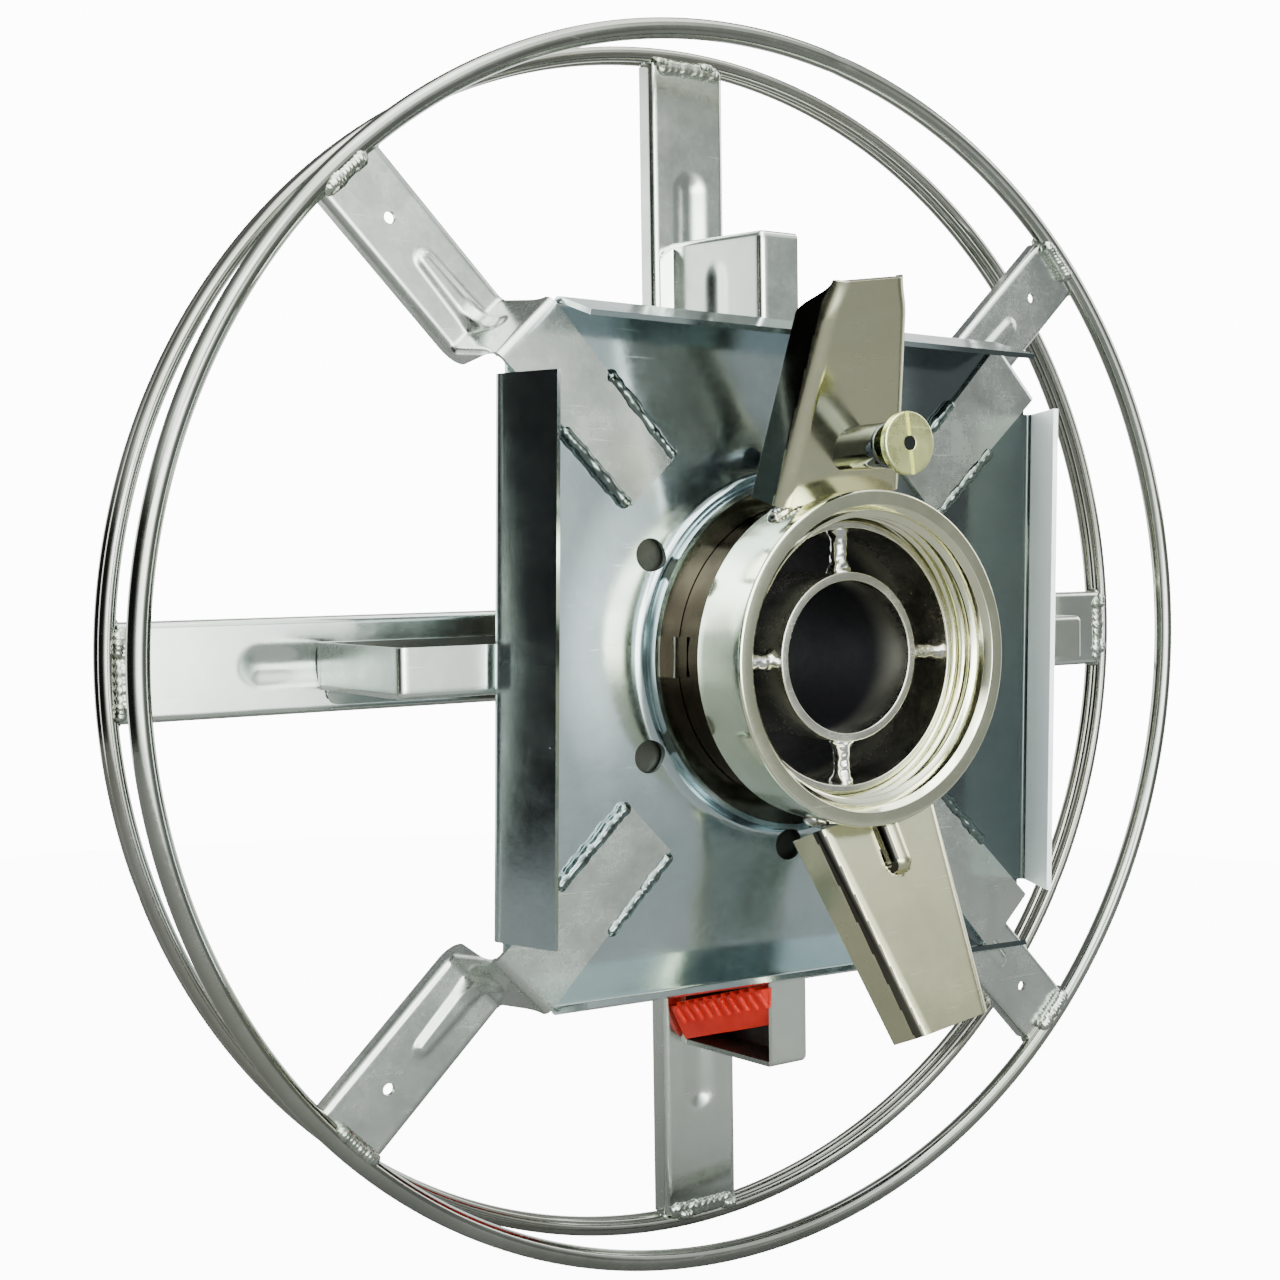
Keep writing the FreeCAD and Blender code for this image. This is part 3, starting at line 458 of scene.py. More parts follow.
arm_zinc = plated("arm_zinc", (0.80, 0.85, 0.79), (0.70, 0.75, 0.71), (0.75, 0.75, 0.61), 0.13, 0.24,
                  heat=True)
sheet, arm_bend = 2.0, 2.6
rear_half, rear_lip, rear_face, rear_inner, rear_outer = 18.0, 10.0, 12.0, 50.9, 242.9
groove_from, groove_to, groove_half, groove_deep, groove_aside = 150.0, 191.0, 9.0, 1.5, 0.6
for side_name, angle in sides.items():
    across, depth = channel_at(np.linspace(-1, 1, 95)[None, :], rear_half, rear_lip, arm_bend)
    low, high = np.sqrt(rear_inner ** 2 - across ** 2), np.sqrt(rear_outer ** 2 - across ** 2)
    along = low + (high - low) * np.linspace(0, 1, 190)[:, None]
    groove = groove_deep * rounded_dip(across - groove_aside, along, groove_from, groove_to, groove_half)
    groove *= smooth_step(groove_from + 10.0, groove_from + 19.5, along)
    grid = np.stack([across + 0 * along, along, rear_face - depth - groove], -1)
    arm = sheet_of(f"rear_arm_{side_name}_channel", turn(grid, angle), sheet, arm_zinc)
    mark_heat(arm, turn([(x, 240.0, 9.0) for x in range(-16, 17, 4)], angle), 7.0)
    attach(arm, "rear_flange")
    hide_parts(f"rear_arm_{side_name}")


# ---- Welds on the rear rim and arms ----
# The arms' ends and lips are welded to the hoops with short, lumpy beads.
# The plating over them is rougher and darker than on the sheet.


def bead(path, normal, width, height, seed, ripple=1.7):
    """Points and faces of a weld bead along a path, in millimetres, on a face with that normal."""
    path = np.asarray(path, float)
    runs = run_lengths(path)
    stations = np.arange(0, runs[-1] + 0.2, 0.4)
    centre = np.stack([np.interp(stations, runs, path[:, k]) for k in range(3)], -1)
    ahead_of = np.gradient(centre, axis=0)
    ahead_of /= np.linalg.norm(ahead_of, axis=1)[:, None]
    up = np.broadcast_to(np.asarray(normal, float), centre.shape)
    aside = np.cross(ahead_of, up)
    aside /= np.linalg.norm(aside, axis=1)[:, None]
    around = 18
    grid = np.zeros((len(stations), around, 3))
    for i, station in enumerate(stations):
        end = min(station, runs[-1] - station) / (width * 0.55)
        taper = math.sqrt(max(0.0, 1 - (1 - min(1.0, end)) ** 2))
        for j in range(around):
            t = math.tau * j / around
            lag = station + 0.5 * width * abs(math.cos(t)) ** 2
            scale = taper * (1 + 0.07 * math.sin(math.tau * lag / ripple)
                             + 0.22 * wobble(centre[i] + (math.cos(t), math.sin(t), 0), 0.35, seed))
            grid[i, j] = centre[i] + aside[i] * (width / 2 * math.cos(t) * scale)
            grid[i, j] += up[i] * (height * math.sin(t) * scale)
    return grid, quads(len(stations), around, False, True)


def joined(*parts):
    """Several sets of points and faces as one."""
    points, faces, count = [], [], 0
    for part_points, part_faces in parts:
        points.append(part_points.reshape(-1, 3))
        faces += [tuple(i + count for i in face) for face in part_faces]
        count += len(points[-1])
    return np.concatenate(points), faces


def welds(name, beads, finish, body):
    """All beads of one weld job as one piece."""
    piece = piece_of(name, *joined(*beads), finish)
    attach(piece, body)


weld_zinc = plated("weld_zinc", (0.60, 0.64, 0.58), (0.34, 0.37, 0.32), (0.46, 0.46, 0.32), 0.14, 0.34,
                   cloud_scale=90.0, straw_amount=0.4, grain_scale=1500.0, relief=0.00012)
rim_beads, long_bead_at, short_bead_at, lip_bead_at = [], 240.9, 242.8, 243.2
for number, angle in enumerate(sides.values()):
    arc = [(x, math.sqrt(long_bead_at ** 2 - x ** 2), rear_face) for x in np.linspace(-15.5, 16.5, 30)]
    rim_beads.append(bead(turn(arc, angle), (0, 0, 1), 6.4, 1.5, number + 0.3, ripple=3.1))
    for middle, reach in ((-13.5, 3.6), (9.0, 3.8)):
        arc = [(x, math.sqrt(short_bead_at ** 2 - x ** 2), rear_face + 0.2)
               for x in middle + np.linspace(-reach, reach, 9)]
        rim_beads.append(bead(turn(arc, angle), (0, 0, 1), 4.2, 2.4, number + middle))
    for x in (-17.2, 17.2):
        lips = [(x, lip_bead_at, b) for b in np.linspace(3.0, 11.0, 7)]
        rim_beads.append(bead(turn(lips, angle), turn((0, 1, 0), angle), 4.4, 2.0, number - x))
welds("rear_rim_welds", rim_beads, weld_zinc, "rear_flange")


# ---- Core brackets ----
# Four folded boxes of 2 mm sheet stand on the rear arms and carry the first turns of hose.
# Each is open to the hub and to one side, with a groove pressed into its web and a flared outer wall.
bracket_zinc = plated("bracket_zinc", (0.88, 0.94, 0.86), (0.78, 0.84, 0.78), (0.84, 0.84, 0.66), 0.12, 0.24,
                      heat=True)
# Painted shade: the outer walls take a darker copy of the zinc, for the side that faces out.
outer_wall_painted_shade = plated("bracket_outer_wall_painted_shade", (0.40, 0.44, 0.41), (0.30, 0.335, 0.31), (0.42, 0.43, 0.34),
                    0.24, 0.40)
# Painted shade: the insides of the boxes are painted nearly black.
box_inside_painted_shade = plated("bracket_inside_painted_shade", (0.16, 0.17, 0.15), (0.09, 0.095, 0.085), (0.14, 0.13, 0.10), 0.40, 0.60)
web, open_edge, fold_radius, foot = -9.7, 8.3, 2.4, 5.5
web_groove_mid, web_groove_from, web_groove_to, web_groove_half = 45.0, 114.0, 147.0, 8.0
bracket_inner, bracket_outer, bracket_flare, bracket_back, bracket_front = 96.0, 164.0, 5.0, 12.0, 75.4
foot_end, foot_round, foot_sheet = 161.0, 5.0, 1.0


def box_side(axis, at, spans):
    """Grid over one side of a box: the fixed axis, its place, and the spans of the other two."""
    lines = []
    for low, high in spans:
        inner_part = np.linspace(low + fold_radius, high - fold_radius,
                                 max(2, int((high - low - 2 * fold_radius) / 1.3)))
        rim = fold_radius * (1 - np.cos(np.linspace(0, math.pi / 2, 7)[:-1]))
        lines.append(np.concatenate([low + rim, inner_part, (high - rim)[::-1]]))
    u, v = np.meshgrid(*lines, indexing="ij")
    parts = [u, v]
    parts.insert(axis, np.full_like(u, at))
    return np.stack(parts, -1)


for side_name, angle in sides.items():
    spans = {0: (web, open_edge), 1: (bracket_inner, bracket_outer), 2: (bracket_back, bracket_front)}
    box_walls = []
    for axis, at in ((0, web), (1, bracket_outer), (2, bracket_front), (2, bracket_back)):
        wall_grid = box_side(axis, at, [spans[k] for k in range(3) if k != axis])
        held = np.stack([np.maximum(wall_grid[..., 0], web + fold_radius),
                         np.minimum(wall_grid[..., 1], bracket_outer - fold_radius),
                         np.minimum(wall_grid[..., 2], bracket_front - fold_radius)], -1)
        out = wall_grid - held
        length = np.maximum(np.linalg.norm(out, axis=-1, keepdims=True), 1e-9)
        wall_grid = held + out * np.minimum(1.0, fold_radius / length)
        if axis == 0:
            wall_grid[..., 0] += rounded_dip(wall_grid[..., 2] - web_groove_mid, wall_grid[..., 1],
                                             web_groove_from, web_groove_to, web_groove_half)
        share_out = (wall_grid[..., 1] - bracket_inner) / (bracket_outer - bracket_inner)
        share_back = (bracket_front - wall_grid[..., 2]) / (bracket_front - bracket_back)
        wall_grid[..., 1] += bracket_flare * share_out * share_back
        box_walls.append((turn(wall_grid, angle), quads(*wall_grid.shape[:2])))
    bracket = piece_of(f"core_bracket_{side_name}_box", *joined(*box_walls), bracket_zinc)
    outward = bmesh.new()
    outward.from_mesh(bracket.data)
    inside_box = Vector(stand(turn((-1.0, 130.0, 43.0), angle)))
    facing = sum((f.calc_center_median() - inside_box).dot(f.normal) * f.calc_area() for f in outward.faces)
    if facing < 0:
        bmesh.ops.reverse_faces(outward, faces=outward.faces)
        outward.to_mesh(bracket.data)
    outward.free()
    for metal in (box_inside_painted_shade, outer_wall_painted_shade, box_inside_painted_shade):
        bracket.data.materials.append(metal)
    out_way = Vector(stand(turn((0, 1, 0), angle))) * 1000
    # Painted shade: outward faces of the outer walls take the darker copy, and the sheet's back faces take
    # the nearly black inside.
    for face in bracket.data.polygons:
        face.material_index = 2 * int(face.normal.dot(out_way) > 0.94 and face.center.dot(out_way) > 0.155)
    thicken(bracket, sheet)
    bracket.modifiers["plate"].material_offset = 1
    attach(bracket, "rear_flange")
    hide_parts(f"core_bracket_{side_name}")
    # The web's foot: a strip of the same sheet folded out flat on the arm
    foot_line = bent_line(((web - foot, 12.9), (web + 0.3, 14.3), (web + 0.3, 19.0)), (0, 1.4, 0), 1.2)
    along = np.concatenate([[bracket_inner + 0.5], np.linspace(bracket_inner + 3, foot_end, 40),
                            foot_end + foot_round * np.sin(np.linspace(0.15, math.pi / 2, 8))])
    rows = []
    for y in along:
        corner = foot_round * (1 - math.sqrt(max(0.0, 1 - (max(0.0, y - foot_end) / foot_round) ** 2)))
        rows.append([(max(x, web - foot + min(corner, foot - 0.8)), y, b) for x, b in foot_line])
    strip = sheet_of(f"core_bracket_{side_name}_foot", turn(np.array(rows), angle), foot_sheet, bracket_zinc)
    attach(strip, "rear_flange")


# ---- Hub tubes ----
# Two steel tubes, one in the other: the outer has the screw thread, the inner is the shaft's bore.
# Their bores are painted nearly black from a little way in: painted shade deep in the tubes, over the thinner
# plating there.
def paint_bore_shade(material, bores, shade_past):
    """Paint shade, nearly black, into a finish inside bores of these radii, in metres, past a depth from the
    front.
    """
    tree = material.node_tree
    shader = tree.nodes["Principled BSDF"]
    colour = shader.inputs["Base Color"].links[0].from_socket
    spot = place(tree, "ShaderNodeSeparateXYZ", {0: on_piece(tree)}).outputs
    across_2 = maths(tree, "MULTIPLY", spot["X"], spot["X"])
    across_2 = maths(tree, "MULTIPLY_ADD", spot["Z"], spot["Z"], across_2)
    radius = maths(tree, "POWER", across_2, 0.5)
    low, high = bores
    inside = maths(tree, "LESS_THAN", radius, high)
    past = maths(tree, "GREATER_THAN", radius, low)
    inside = maths(tree, "MULTIPLY", inside, past)
    deep = rescaled(tree, spot["Y"], shade_past - 0.004, shade_past + 0.022, way="SMOOTHSTEP")
    bore_shade = maths(tree, "MULTIPLY", inside, deep)
    dark = mixed(tree, bore_shade, colour, (0.035, 0.034, 0.040, 1.0))
    tree.links.new(dark, shader.inputs["Base Color"])
    rough = shader.inputs["Roughness"].links[0].from_socket
    tree.links.new(maths(tree, "MULTIPLY_ADD", bore_shade, 0.4, rough), shader.inputs["Roughness"])


def lathe(outline, radii, step, turns=160):
    """Points and faces of an outline of radius and plane, its corners rounded, turned about the axis."""
    profile = bent_line(outline, radii, step, closed=True)
    grid = np.zeros((turns, len(profile), 3))
    for i in range(turns):
        angle = math.tau * i / turns
        grid[i] = [(r * math.cos(angle), r * math.sin(angle), b) for r, b in profile]
    return grid, quads(turns, len(profile), True, True)


def thread(base, crest, back, length):
    """Points and faces of a rounded helical ridge of 5 mm pitch."""
    pitch, half_foot, half_top, per_turn = 5.0, 1.5, 0.7, 120
    flank = base + (crest - base) * 0.75
    section = [(base, -half_foot), (flank, -half_top - 0.25), (crest, -half_top * 0.6),
               (crest, half_top * 0.6), (flank, half_top + 0.25), (base, half_foot)]
    steps = int(length / pitch * per_turn)
    grid = np.zeros((steps + 1, len(section), 3))
    for i in range(steps + 1):
        angle, plane = math.tau * i / per_turn, back + pitch * i / per_turn
        run_out = min(1.0, i / 12, (steps - i) / 12)
        cut = [(base + (r - base) * run_out, plane + b) for r, b in section]
        grid[i] = [(r * math.cos(angle), r * math.sin(angle), b) for r, b in cut]
    return grid, quads(steps + 1, len(section), False, True)


def sharpen(piece, degrees=38):
    """Keep edges crisp where faces meet at more than an angle."""
    piece.data.set_sharp_from_angle(angle=math.radians(degrees))
    return piece


tube_zinc = plated("tube_zinc", (0.80, 0.79, 0.70), (0.68, 0.67, 0.56), (0.80, 0.74, 0.50), 0.14, 0.30)
paint_bore_shade(tube_zinc, (0.0322, 0.0492), -0.098)
tube_end, hub_inside, hub_outside, thread_root, thread_from = 116.0, 48.0, 50.8, 51.7, 70.0
hub_outline = ((hub_inside, 0), (hub_outside, 0), (hub_outside, thread_from), (thread_root, thread_from + 1),
               (thread_root, tube_end - 2.5), (hub_outside, tube_end - 1.8), (hub_outside, tube_end),
               (hub_inside, tube_end))
hub_parts = joined(lathe(hub_outline, (0.6, 0.6, 0, 0, 0, 0, 0.6, 0.6), 6.0),
                   thread(base=51.3, crest=53.9, back=72.0, length=40.0))
hub = sharpen(piece_of("hub_tube_wall", *hub_parts, tube_zinc))
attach(hub, "rear_flange")
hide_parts("threaded_hub_tube")

shaft_zinc = plated("shaft_zinc", (0.80, 0.79, 0.70), (0.68, 0.67, 0.56), (0.80, 0.74, 0.50), 0.16, 0.32)
paint_bore_shade(shaft_zinc, (0.0, 0.0286), -0.1157)
shaft_outline = ((28.5, 0), (31.75, 0), (31.75, tube_end), (28.5, tube_end))
shaft = sharpen(piece_of("shaft_tube_wall", *lathe(shaft_outline, 0.5, 6.0), shaft_zinc))
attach(shaft, "rear_flange")
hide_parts("shaft_tube")


# ---- Hub spokes ----
# Four round stubs join the two tubes at the front and four at the rear.
# They are short pieces of rod, welded at both ends with a lot of filler.
spoke_from, spoke_to, spoke_radius, fillet, lumpy = 31.3, 48.4, 3.1, 3.0, 1.1


def stub(plane, angle, seed):
    """Points and faces of one spoke with its weld metal."""
    reach, around = np.arange(spoke_from, spoke_to, 0.45), 24
    grid = np.zeros((len(reach), around, 3))
    for i, r in enumerate(reach):
        ends = math.exp(-((r - spoke_from - 0.2) / fillet) ** 2)
        ends += math.exp(-((r - spoke_to + 0.2) / fillet) ** 2)
        for j in range(around):
            t = math.tau * j / around
            lump = lumpy * wobble((r * 0.5, math.cos(t) * 1.4, math.sin(t) * 1.4), 0.9, seed)
            thick = spoke_radius * (1 + 0.42 * ends) + lump * (0.4 + ends)
            grid[i, j] = (thick * math.cos(t), r, plane + thick * math.sin(t))
    caps = [tuple(range(around)), tuple(range(len(reach) * around - around, len(reach) * around))]
    return turn(grid, angle), quads(len(reach), around, False, True) + caps


spoke_zinc = plated("spoke_zinc", (0.86, 0.86, 0.84), (0.60, 0.60, 0.57), (0.66, 0.62, 0.48), 0.10, 0.26,
                    cloud_scale=120.0, relief=0.0001)
for name, plane, lean in (("front_hub_spokes", 110.0, 0.6), ("rear_hub_spokes", 6.0, 0.0)):
    stubs = joined(*[stub(plane, angle + lean, plane + angle) for angle in sides.values()])
    spokes = piece_of(name + "_welded", *stubs, spoke_zinc)
    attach(spokes, "rear_flange")
    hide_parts(name)


# ---- Red grip block ----
# A moulded wedge of red plastic sits in the bottom bracket, with ribs across its top.
# Its face on the bracket's open side is slanted, and a little scuffed.
red = bpy.data.materials.new("red_plastic")
red.use_nodes = True
tree = red.node_tree
shader = tree.nodes["Principled BSDF"]
spot = on_piece(tree)
mottle = speckle(tree, spot, 90.0, 6.0)
tree.links.new(ramp(tree, mottle, [(0.3, (0.82, 0.010, 0.003)), (0.7, (1.0, 0.030, 0.010))]),
               shader.inputs["Base Color"])
worn = place(tree, "ShaderNodeGroup", {"Bright": 0.30, "Dull": 0.52, "Grain Scale": 1400.0, "Scratch": 0.5},
             node_tree=wear).outputs
tree.links.new(worn["Roughness"], shader.inputs["Roughness"])
scuffs = place(tree, "ShaderNodeBump", {"Strength": 0.6, "Distance": 0.00008, "Height": worn["Height"]})
tree.links.new(scuffs.outputs[0], shader.inputs["Normal"])

grip_low, grip_back, grip_front, grip_slope, grip_tall, grip_wide = 166.5, 14.3, 73.1, 19.0, 15.0, 22.6
slant_down, slant_ahead, rib_count, rib_radius = 0.49, 0.237, 9, 1.4
outline_of = [(grip_low, grip_back), (grip_low - grip_slope, grip_front)]
edge_start = Vector((grip_low - grip_slope - grip_tall, grip_front))
edge_end = Vector((grip_low - grip_tall, grip_back))
run = edge_end - edge_start
plain_end = 0.5 / (rib_count + 1)
for k in range(121):
    share = k / 120
    wave = math.cos(math.tau * (share * (rib_count + 1)))
    rise = rib_radius * max(0.0, wave) * (plain_end < share < 1 - plain_end)
    point = edge_start + run * share + Vector((-run.y, run.x)).normalized() * -rise
    outline_of.append(tuple(point))
at_web = web + 3.7


def slanted(y, b, proud=0.0):
    """How far across the block's slanted face lies, at a height and a plane."""
    fall = slant_down * (y - grip_low + grip_tall) + slant_ahead * (b - grip_back)
    return at_web + grip_wide + proud - fall


count = len(outline_of)
slab = [(at_web, y, b) for y, b in outline_of] + [(slanted(y, b), y, b) for y, b in outline_of]
slab_faces = [tuple(range(count)), tuple(range(2 * count - 1, count - 1, -1))]
slab_faces += [(k, (k + 1) % count, count + (k + 1) % count, count + k) for k in range(count)]
grip = piece_of("red_grip", turn(slab, sides["bottom"]), slab_faces, red)
soft = grip.modifiers.new("moulded_edge", "BEVEL")
soft.width, soft.segments, soft.limit_method, soft.angle_limit = 0.0009, 3, "ANGLE", math.radians(60)
soft.harden_normals = True
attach(grip, "rear_flange")
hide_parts("red_grip_block")
strokes, stroke_lean = [], 0.25
face_way = turn((0.875, 0.43, 0.21), sides["bottom"])
for k in range(10):
    y, b = edge_end.lerp(edge_start, (k + 0.6) / 10)
    line = [(v, b + stroke_lean * (v - y)) for v in np.linspace(y + 0.4, y + 7.5, 8)]
    line = [(slanted(v, plane, 0.1), v, plane) for v, plane in line]
    strokes.append(bead(turn(line, sides["bottom"]), face_way, 2.6, 1.2, k, ripple=9.0))
welds("red_grip_strokes", strokes, red, "rear_flange")


# ---- Front ring ----
# One ring of 8 mm round wire, the rim of the flange that lifts off.
# It is butt-welded and plated like the hoops.
ring_plane, ring_wire = 49.0, 4.0
ring_zinc = plated("ring_zinc", (0.42, 0.43, 0.39), (0.31, 0.32, 0.29), (0.38, 0.37, 0.29), 0.08, 0.18,
                   scratch=0.6)
front_ring = wire_ring("front_ring_wire", ring_plane, ring_wire, seed=3.0, weld_angle=80.0, finish=ring_zinc)
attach(front_ring, "front_flange")
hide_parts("front_ring")


# ---- Front arms ----
# Four channels of 2 mm sheet, set diagonally: flat from the ring inward, folded forward, flat on the tray.
# A gusset rib is pressed through the outer fold, and a small hole is pierced near the ring.
corners = {"upper_left": 45, "lower_left": 135, "lower_right": 225, "upper_right": 315}
fold_out, fold_in, arm_front, arm_inner, arm_outer = 172.0, 167.0, 79.7, 91.0, 241.9
arm_half, arm_tip_half, arm_lip, hole_at, hole_radius = 15.0, 12.5, 7.0, 221.0, 2.2
spine = bent_line(((arm_outer, ring_plane), (fold_out, ring_plane), (fold_in, arm_front),
                   (arm_inner, arm_front)), (0, 2.2, 3.6, 0), 1.0)
run_at = run_lengths(spine)


def normals_of(line):
    """The way out of the face at each point of a spine."""
    ahead_of = np.gradient(line, axis=0)
    ahead_of /= np.linalg.norm(ahead_of, axis=1)[:, None]
    return np.stack([ahead_of[:, 1], -ahead_of[:, 0]], -1)


def along_line(line, runs, places):
    """Points of a line at run lengths."""
    return np.stack([np.interp(places, runs, line[:, k]) for k in (0, 1)], -1)


face_normal = normals_of(spine)
fold_run, riser = arm_outer - fold_out, 31.0
rib_from, rib_to = fold_run - 33.0, fold_run + 15.0
ridge = bent_line((along_line(spine, run_at, rib_from), (fold_out, ring_plane),
                   along_line(spine, run_at, rib_to)), (0, 12.0, 0), 0.6)
ridge_at = run_lengths(ridge)
ridge = ridge + normals_of(ridge) * 1.3
on_rib = np.clip(run_at, rib_from, rib_to)
lift = along_line(ridge, ridge_at, (on_rib - rib_from) / (rib_to - rib_from) * ridge_at[-1])
lift -= along_line(spine, run_at, on_rib)
front_zinc = plated("front_arm_zinc", (0.70, 0.735, 0.70), (0.56, 0.60, 0.57), (0.64, 0.64, 0.52), 0.18, 0.32,
                    cloud_scale=30.0)


def tool_at(shape, spot, stance):
    """A cutting tool of a shape at a spot in millimetres."""
    mesh = bpy.data.meshes.new("tool")
    shape.to_mesh(mesh)
    shape.free()
    tool = bpy.data.objects.new("tool", mesh)
    bpy.context.scene.collection.objects.link(tool)
    tool.matrix_world = Matrix.Translation(Vector(stand(spot))) @ stance
    return tool


def cut_away(piece, tools):
    """Cut tools out of a piece before its edges are broken, keep the mesh and drop the tools."""
    for tool in tools:
        cut = piece.modifiers.new("cut", "BOOLEAN")
        cut.object, cut.operation, cut.solver = tool, "DIFFERENCE", "EXACT"
        if len(piece.modifiers) > 2:
            piece.modifiers.move(len(piece.modifiers) - 1, 1)
    freeze(piece)
    for tool in tools:
        bpy.data.objects.remove(tool)


def drill_at(spot, radius, depth, facets):
    """A drill that points along the reel's axis. Its sizes are in millimetres."""
    rod = bmesh.new()
    bmesh.ops.create_cone(rod, cap_ends=True, segments=facets, radius1=radius * 0.001, radius2=radius * 0.001,
                          depth=depth * 0.001)
    return tool_at(rod, spot, Matrix.Rotation(math.pi / 2, 4, "X"))


for corner_name, angle in corners.items():
    run = run_at[:, None]
    lips = arm_lip * np.clip(1 - (run - fold_run) / (riser * 0.85), 0, 1)
    on_tray = np.clip((run - fold_run - riser) / (run_at[-1] - fold_run - riser), 0, 1)
    half = arm_half - (arm_half - arm_tip_half) * on_tray
    wide, depth = channel_at(np.linspace(-1, 1, 65)[None, :], half, lips, arm_bend)
    breadth = np.interp(run, (rib_from, fold_run, rib_to), (4.0, 6.0, 4.8))
    beyond = np.maximum(np.maximum(rib_from + 3 - run, run - rib_to + 3), 0)
    press = 1 - smooth_step(0.3, 1.0, np.hypot(wide, beyond) / breadth)
    flat = spine[:, None, :] - face_normal[:, None, :] * depth[..., None]
    flat += lift[:, None, :] * press[..., None]
    at_ring = (np.sqrt(arm_outer ** 2 - wide ** 2) - fold_out) / (arm_outer - fold_out)
    trimmed = fold_out + (flat[..., 0] - fold_out) * at_ring
    y = np.where(flat[..., 0] > fold_out + 3, trimmed, flat[..., 0])
    grid = np.stack([wide + 0 * y, y, flat[..., 1]], -1)
    arm = sheet_of(f"front_arm_{corner_name}_channel", turn(grid, angle), sheet, front_zinc)
    cut_away(arm, [drill_at(turn((0, hole_at, ring_plane), angle), hole_radius, depth=12.0, facets=28)])
    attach(arm, "front_flange")
    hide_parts(f"front_arm_{corner_name}")

ring_beads, ring_bead_at = [], 243.0
for number, angle in enumerate(corners.values()):
    arc = [(x, math.sqrt(ring_bead_at ** 2 - x ** 2), ring_plane + 1.6) for x in np.linspace(-14.5, 8.0, 16)]
    ring_beads.append(bead(turn(arc, angle), (0, 0, 1), 6.0, 3.0, number + 0.5))
    lips = [(-14.6, ring_bead_at + 0.4, b) for b in np.linspace(43.5, 50.0, 6)]
    ring_beads.append(bead(turn(lips, angle), turn((0, 1, 0), angle), 4.6, 2.2, number + 4.5))
    lips = [(14.0, ring_bead_at, b) for b in np.linspace(43.5, 49.5, 6)]
    ring_beads.append(bead(turn(lips, angle), turn((0, 1, 0), angle), 4.0, 2.0, number + 8.5))
welds("front_ring_welds", ring_beads, weld_zinc, "front_flange")


# ---- Tray ----
# A pressed square plate of 2 mm sheet with four flanges that lean inward, and corners cut off.
# The floor swells up to a plunged neck round the hub, and has six holes for the lock pin.
# The right half of the floor is painted darker: painted shade.
floor_front, tray_half, flat_half = 77.7, 129.7, 124.2
corner_sum, neck_radius, neck_top, swell = 230.5, 68.0, 87.2, 1.4
side_half, end_half, top_half = 100.0, corner_sum - flat_half, 105.0
tray_zinc = plated("tray_zinc", (0.58, 0.67, 0.70), (0.46, 0.55, 0.58), (0.66, 0.69, 0.60), 0.11, 0.19,
                   cloud_scale=11.0, straw_amount=0.25, heat=True)
tree = tray_zinc.node_tree
skin = tree.nodes["Principled BSDF"].inputs["Base Color"]
across = place(tree, "ShaderNodeSeparateXYZ", {0: on_piece(tree)}).outputs["X"]
# Painted shade: the base colour darkens towards the right of the floor.
shade_from, shade_full, darkest = 0.040, 0.070, 0.34
shade = rescaled(tree, across, shade_from, shade_full, 1.0, darkest, way="SMOOTHSTEP")
shade = mixed(tree, 1.0, skin.links[0].from_socket, shade, "MULTIPLY")
tree.links.new(shade, skin)


def floor_edge(angle):
    """Where the flat floor ends at an angle."""
    c, s = abs(math.cos(angle)), abs(math.sin(angle))
    return min(flat_half / max(c, 1e-9), flat_half / max(s, 1e-9), corner_sum / (c + s))


breaks = sorted({math.degrees(math.atan2(y, x)) % 360 for sx in (1, -1) for sy in (1, -1)
                 for x, y in ((sx * flat_half, sy * side_half), (sx * flat_half, sy * end_half),
                              (sx * end_half, sy * flat_half), (sx * top_half, sy * flat_half))})
angles = []
for start, end in zip(breaks, breaks[1:] + [breaks[0] + 360]):
    cuts = max(1, round((end - start) / 1.1))
    angles += [math.radians(start + (end - start) * k / cuts) for k in range(cuts)]
neck_line = bent_line(((neck_radius, neck_top), (neck_radius, floor_front + swell),
                       (neck_radius + 6.0, floor_front + swell)), (0, 4.0, 0), 1.4)
circles = list(np.arange(75.0, 100.0, 1.8))
spread_out = [k / 14 for k in range(1, 15)]
swell_full, swell_end, sag_deep = 74.0, 104.0, 0.28
# The floor stays flat where the lock pin comes down on it
pin_reach, wing_turn, pin_flat, pin_blend = 77.0, 9.1, 5.0, 26.0
pin_spot = turn((0.0, pin_reach, 0.0), wing_turn)
rows = []
for angle in angles:
    rim = floor_edge(angle)
    line = [(r, b) for r, b in neck_line] + [(r, None) for r in circles]
    line += [(circles[-1] + (rim - circles[-1]) * share, None) for share in spread_out]
    row = []
    for r, b in line:
        x, y = r * math.cos(angle), r * math.sin(angle)
        clear = float(smooth_step(pin_flat, pin_blend, math.hypot(x - pin_spot[0], y - pin_spot[1])))
        rise = swell * clear * (1 - float(smooth_step(swell_full, swell_end, r)))
        sag = sag_deep * wobble((x, y, 0), 0.013, 2) * float(smooth_step(swell_full, swell_full + 16.0, r))
        sag *= 1 - float(smooth_step(0.86, 1.0, r / rim))
        if b is None:
            row.append((x, y, floor_front + rise + sag))
        else:
            off_neck = float(smooth_step(neck_radius, neck_radius + 3.0, r))
            row.append((x, y, b - swell * (1 - clear) * off_neck))
    rows.append(row)
floor_grid = np.array(rows)
tray_parts = [(floor_grid, quads(len(rows), floor_grid.shape[1], True, False))]
flange_high, side_lean, top_lean = 25.0, 11.1, 8.1
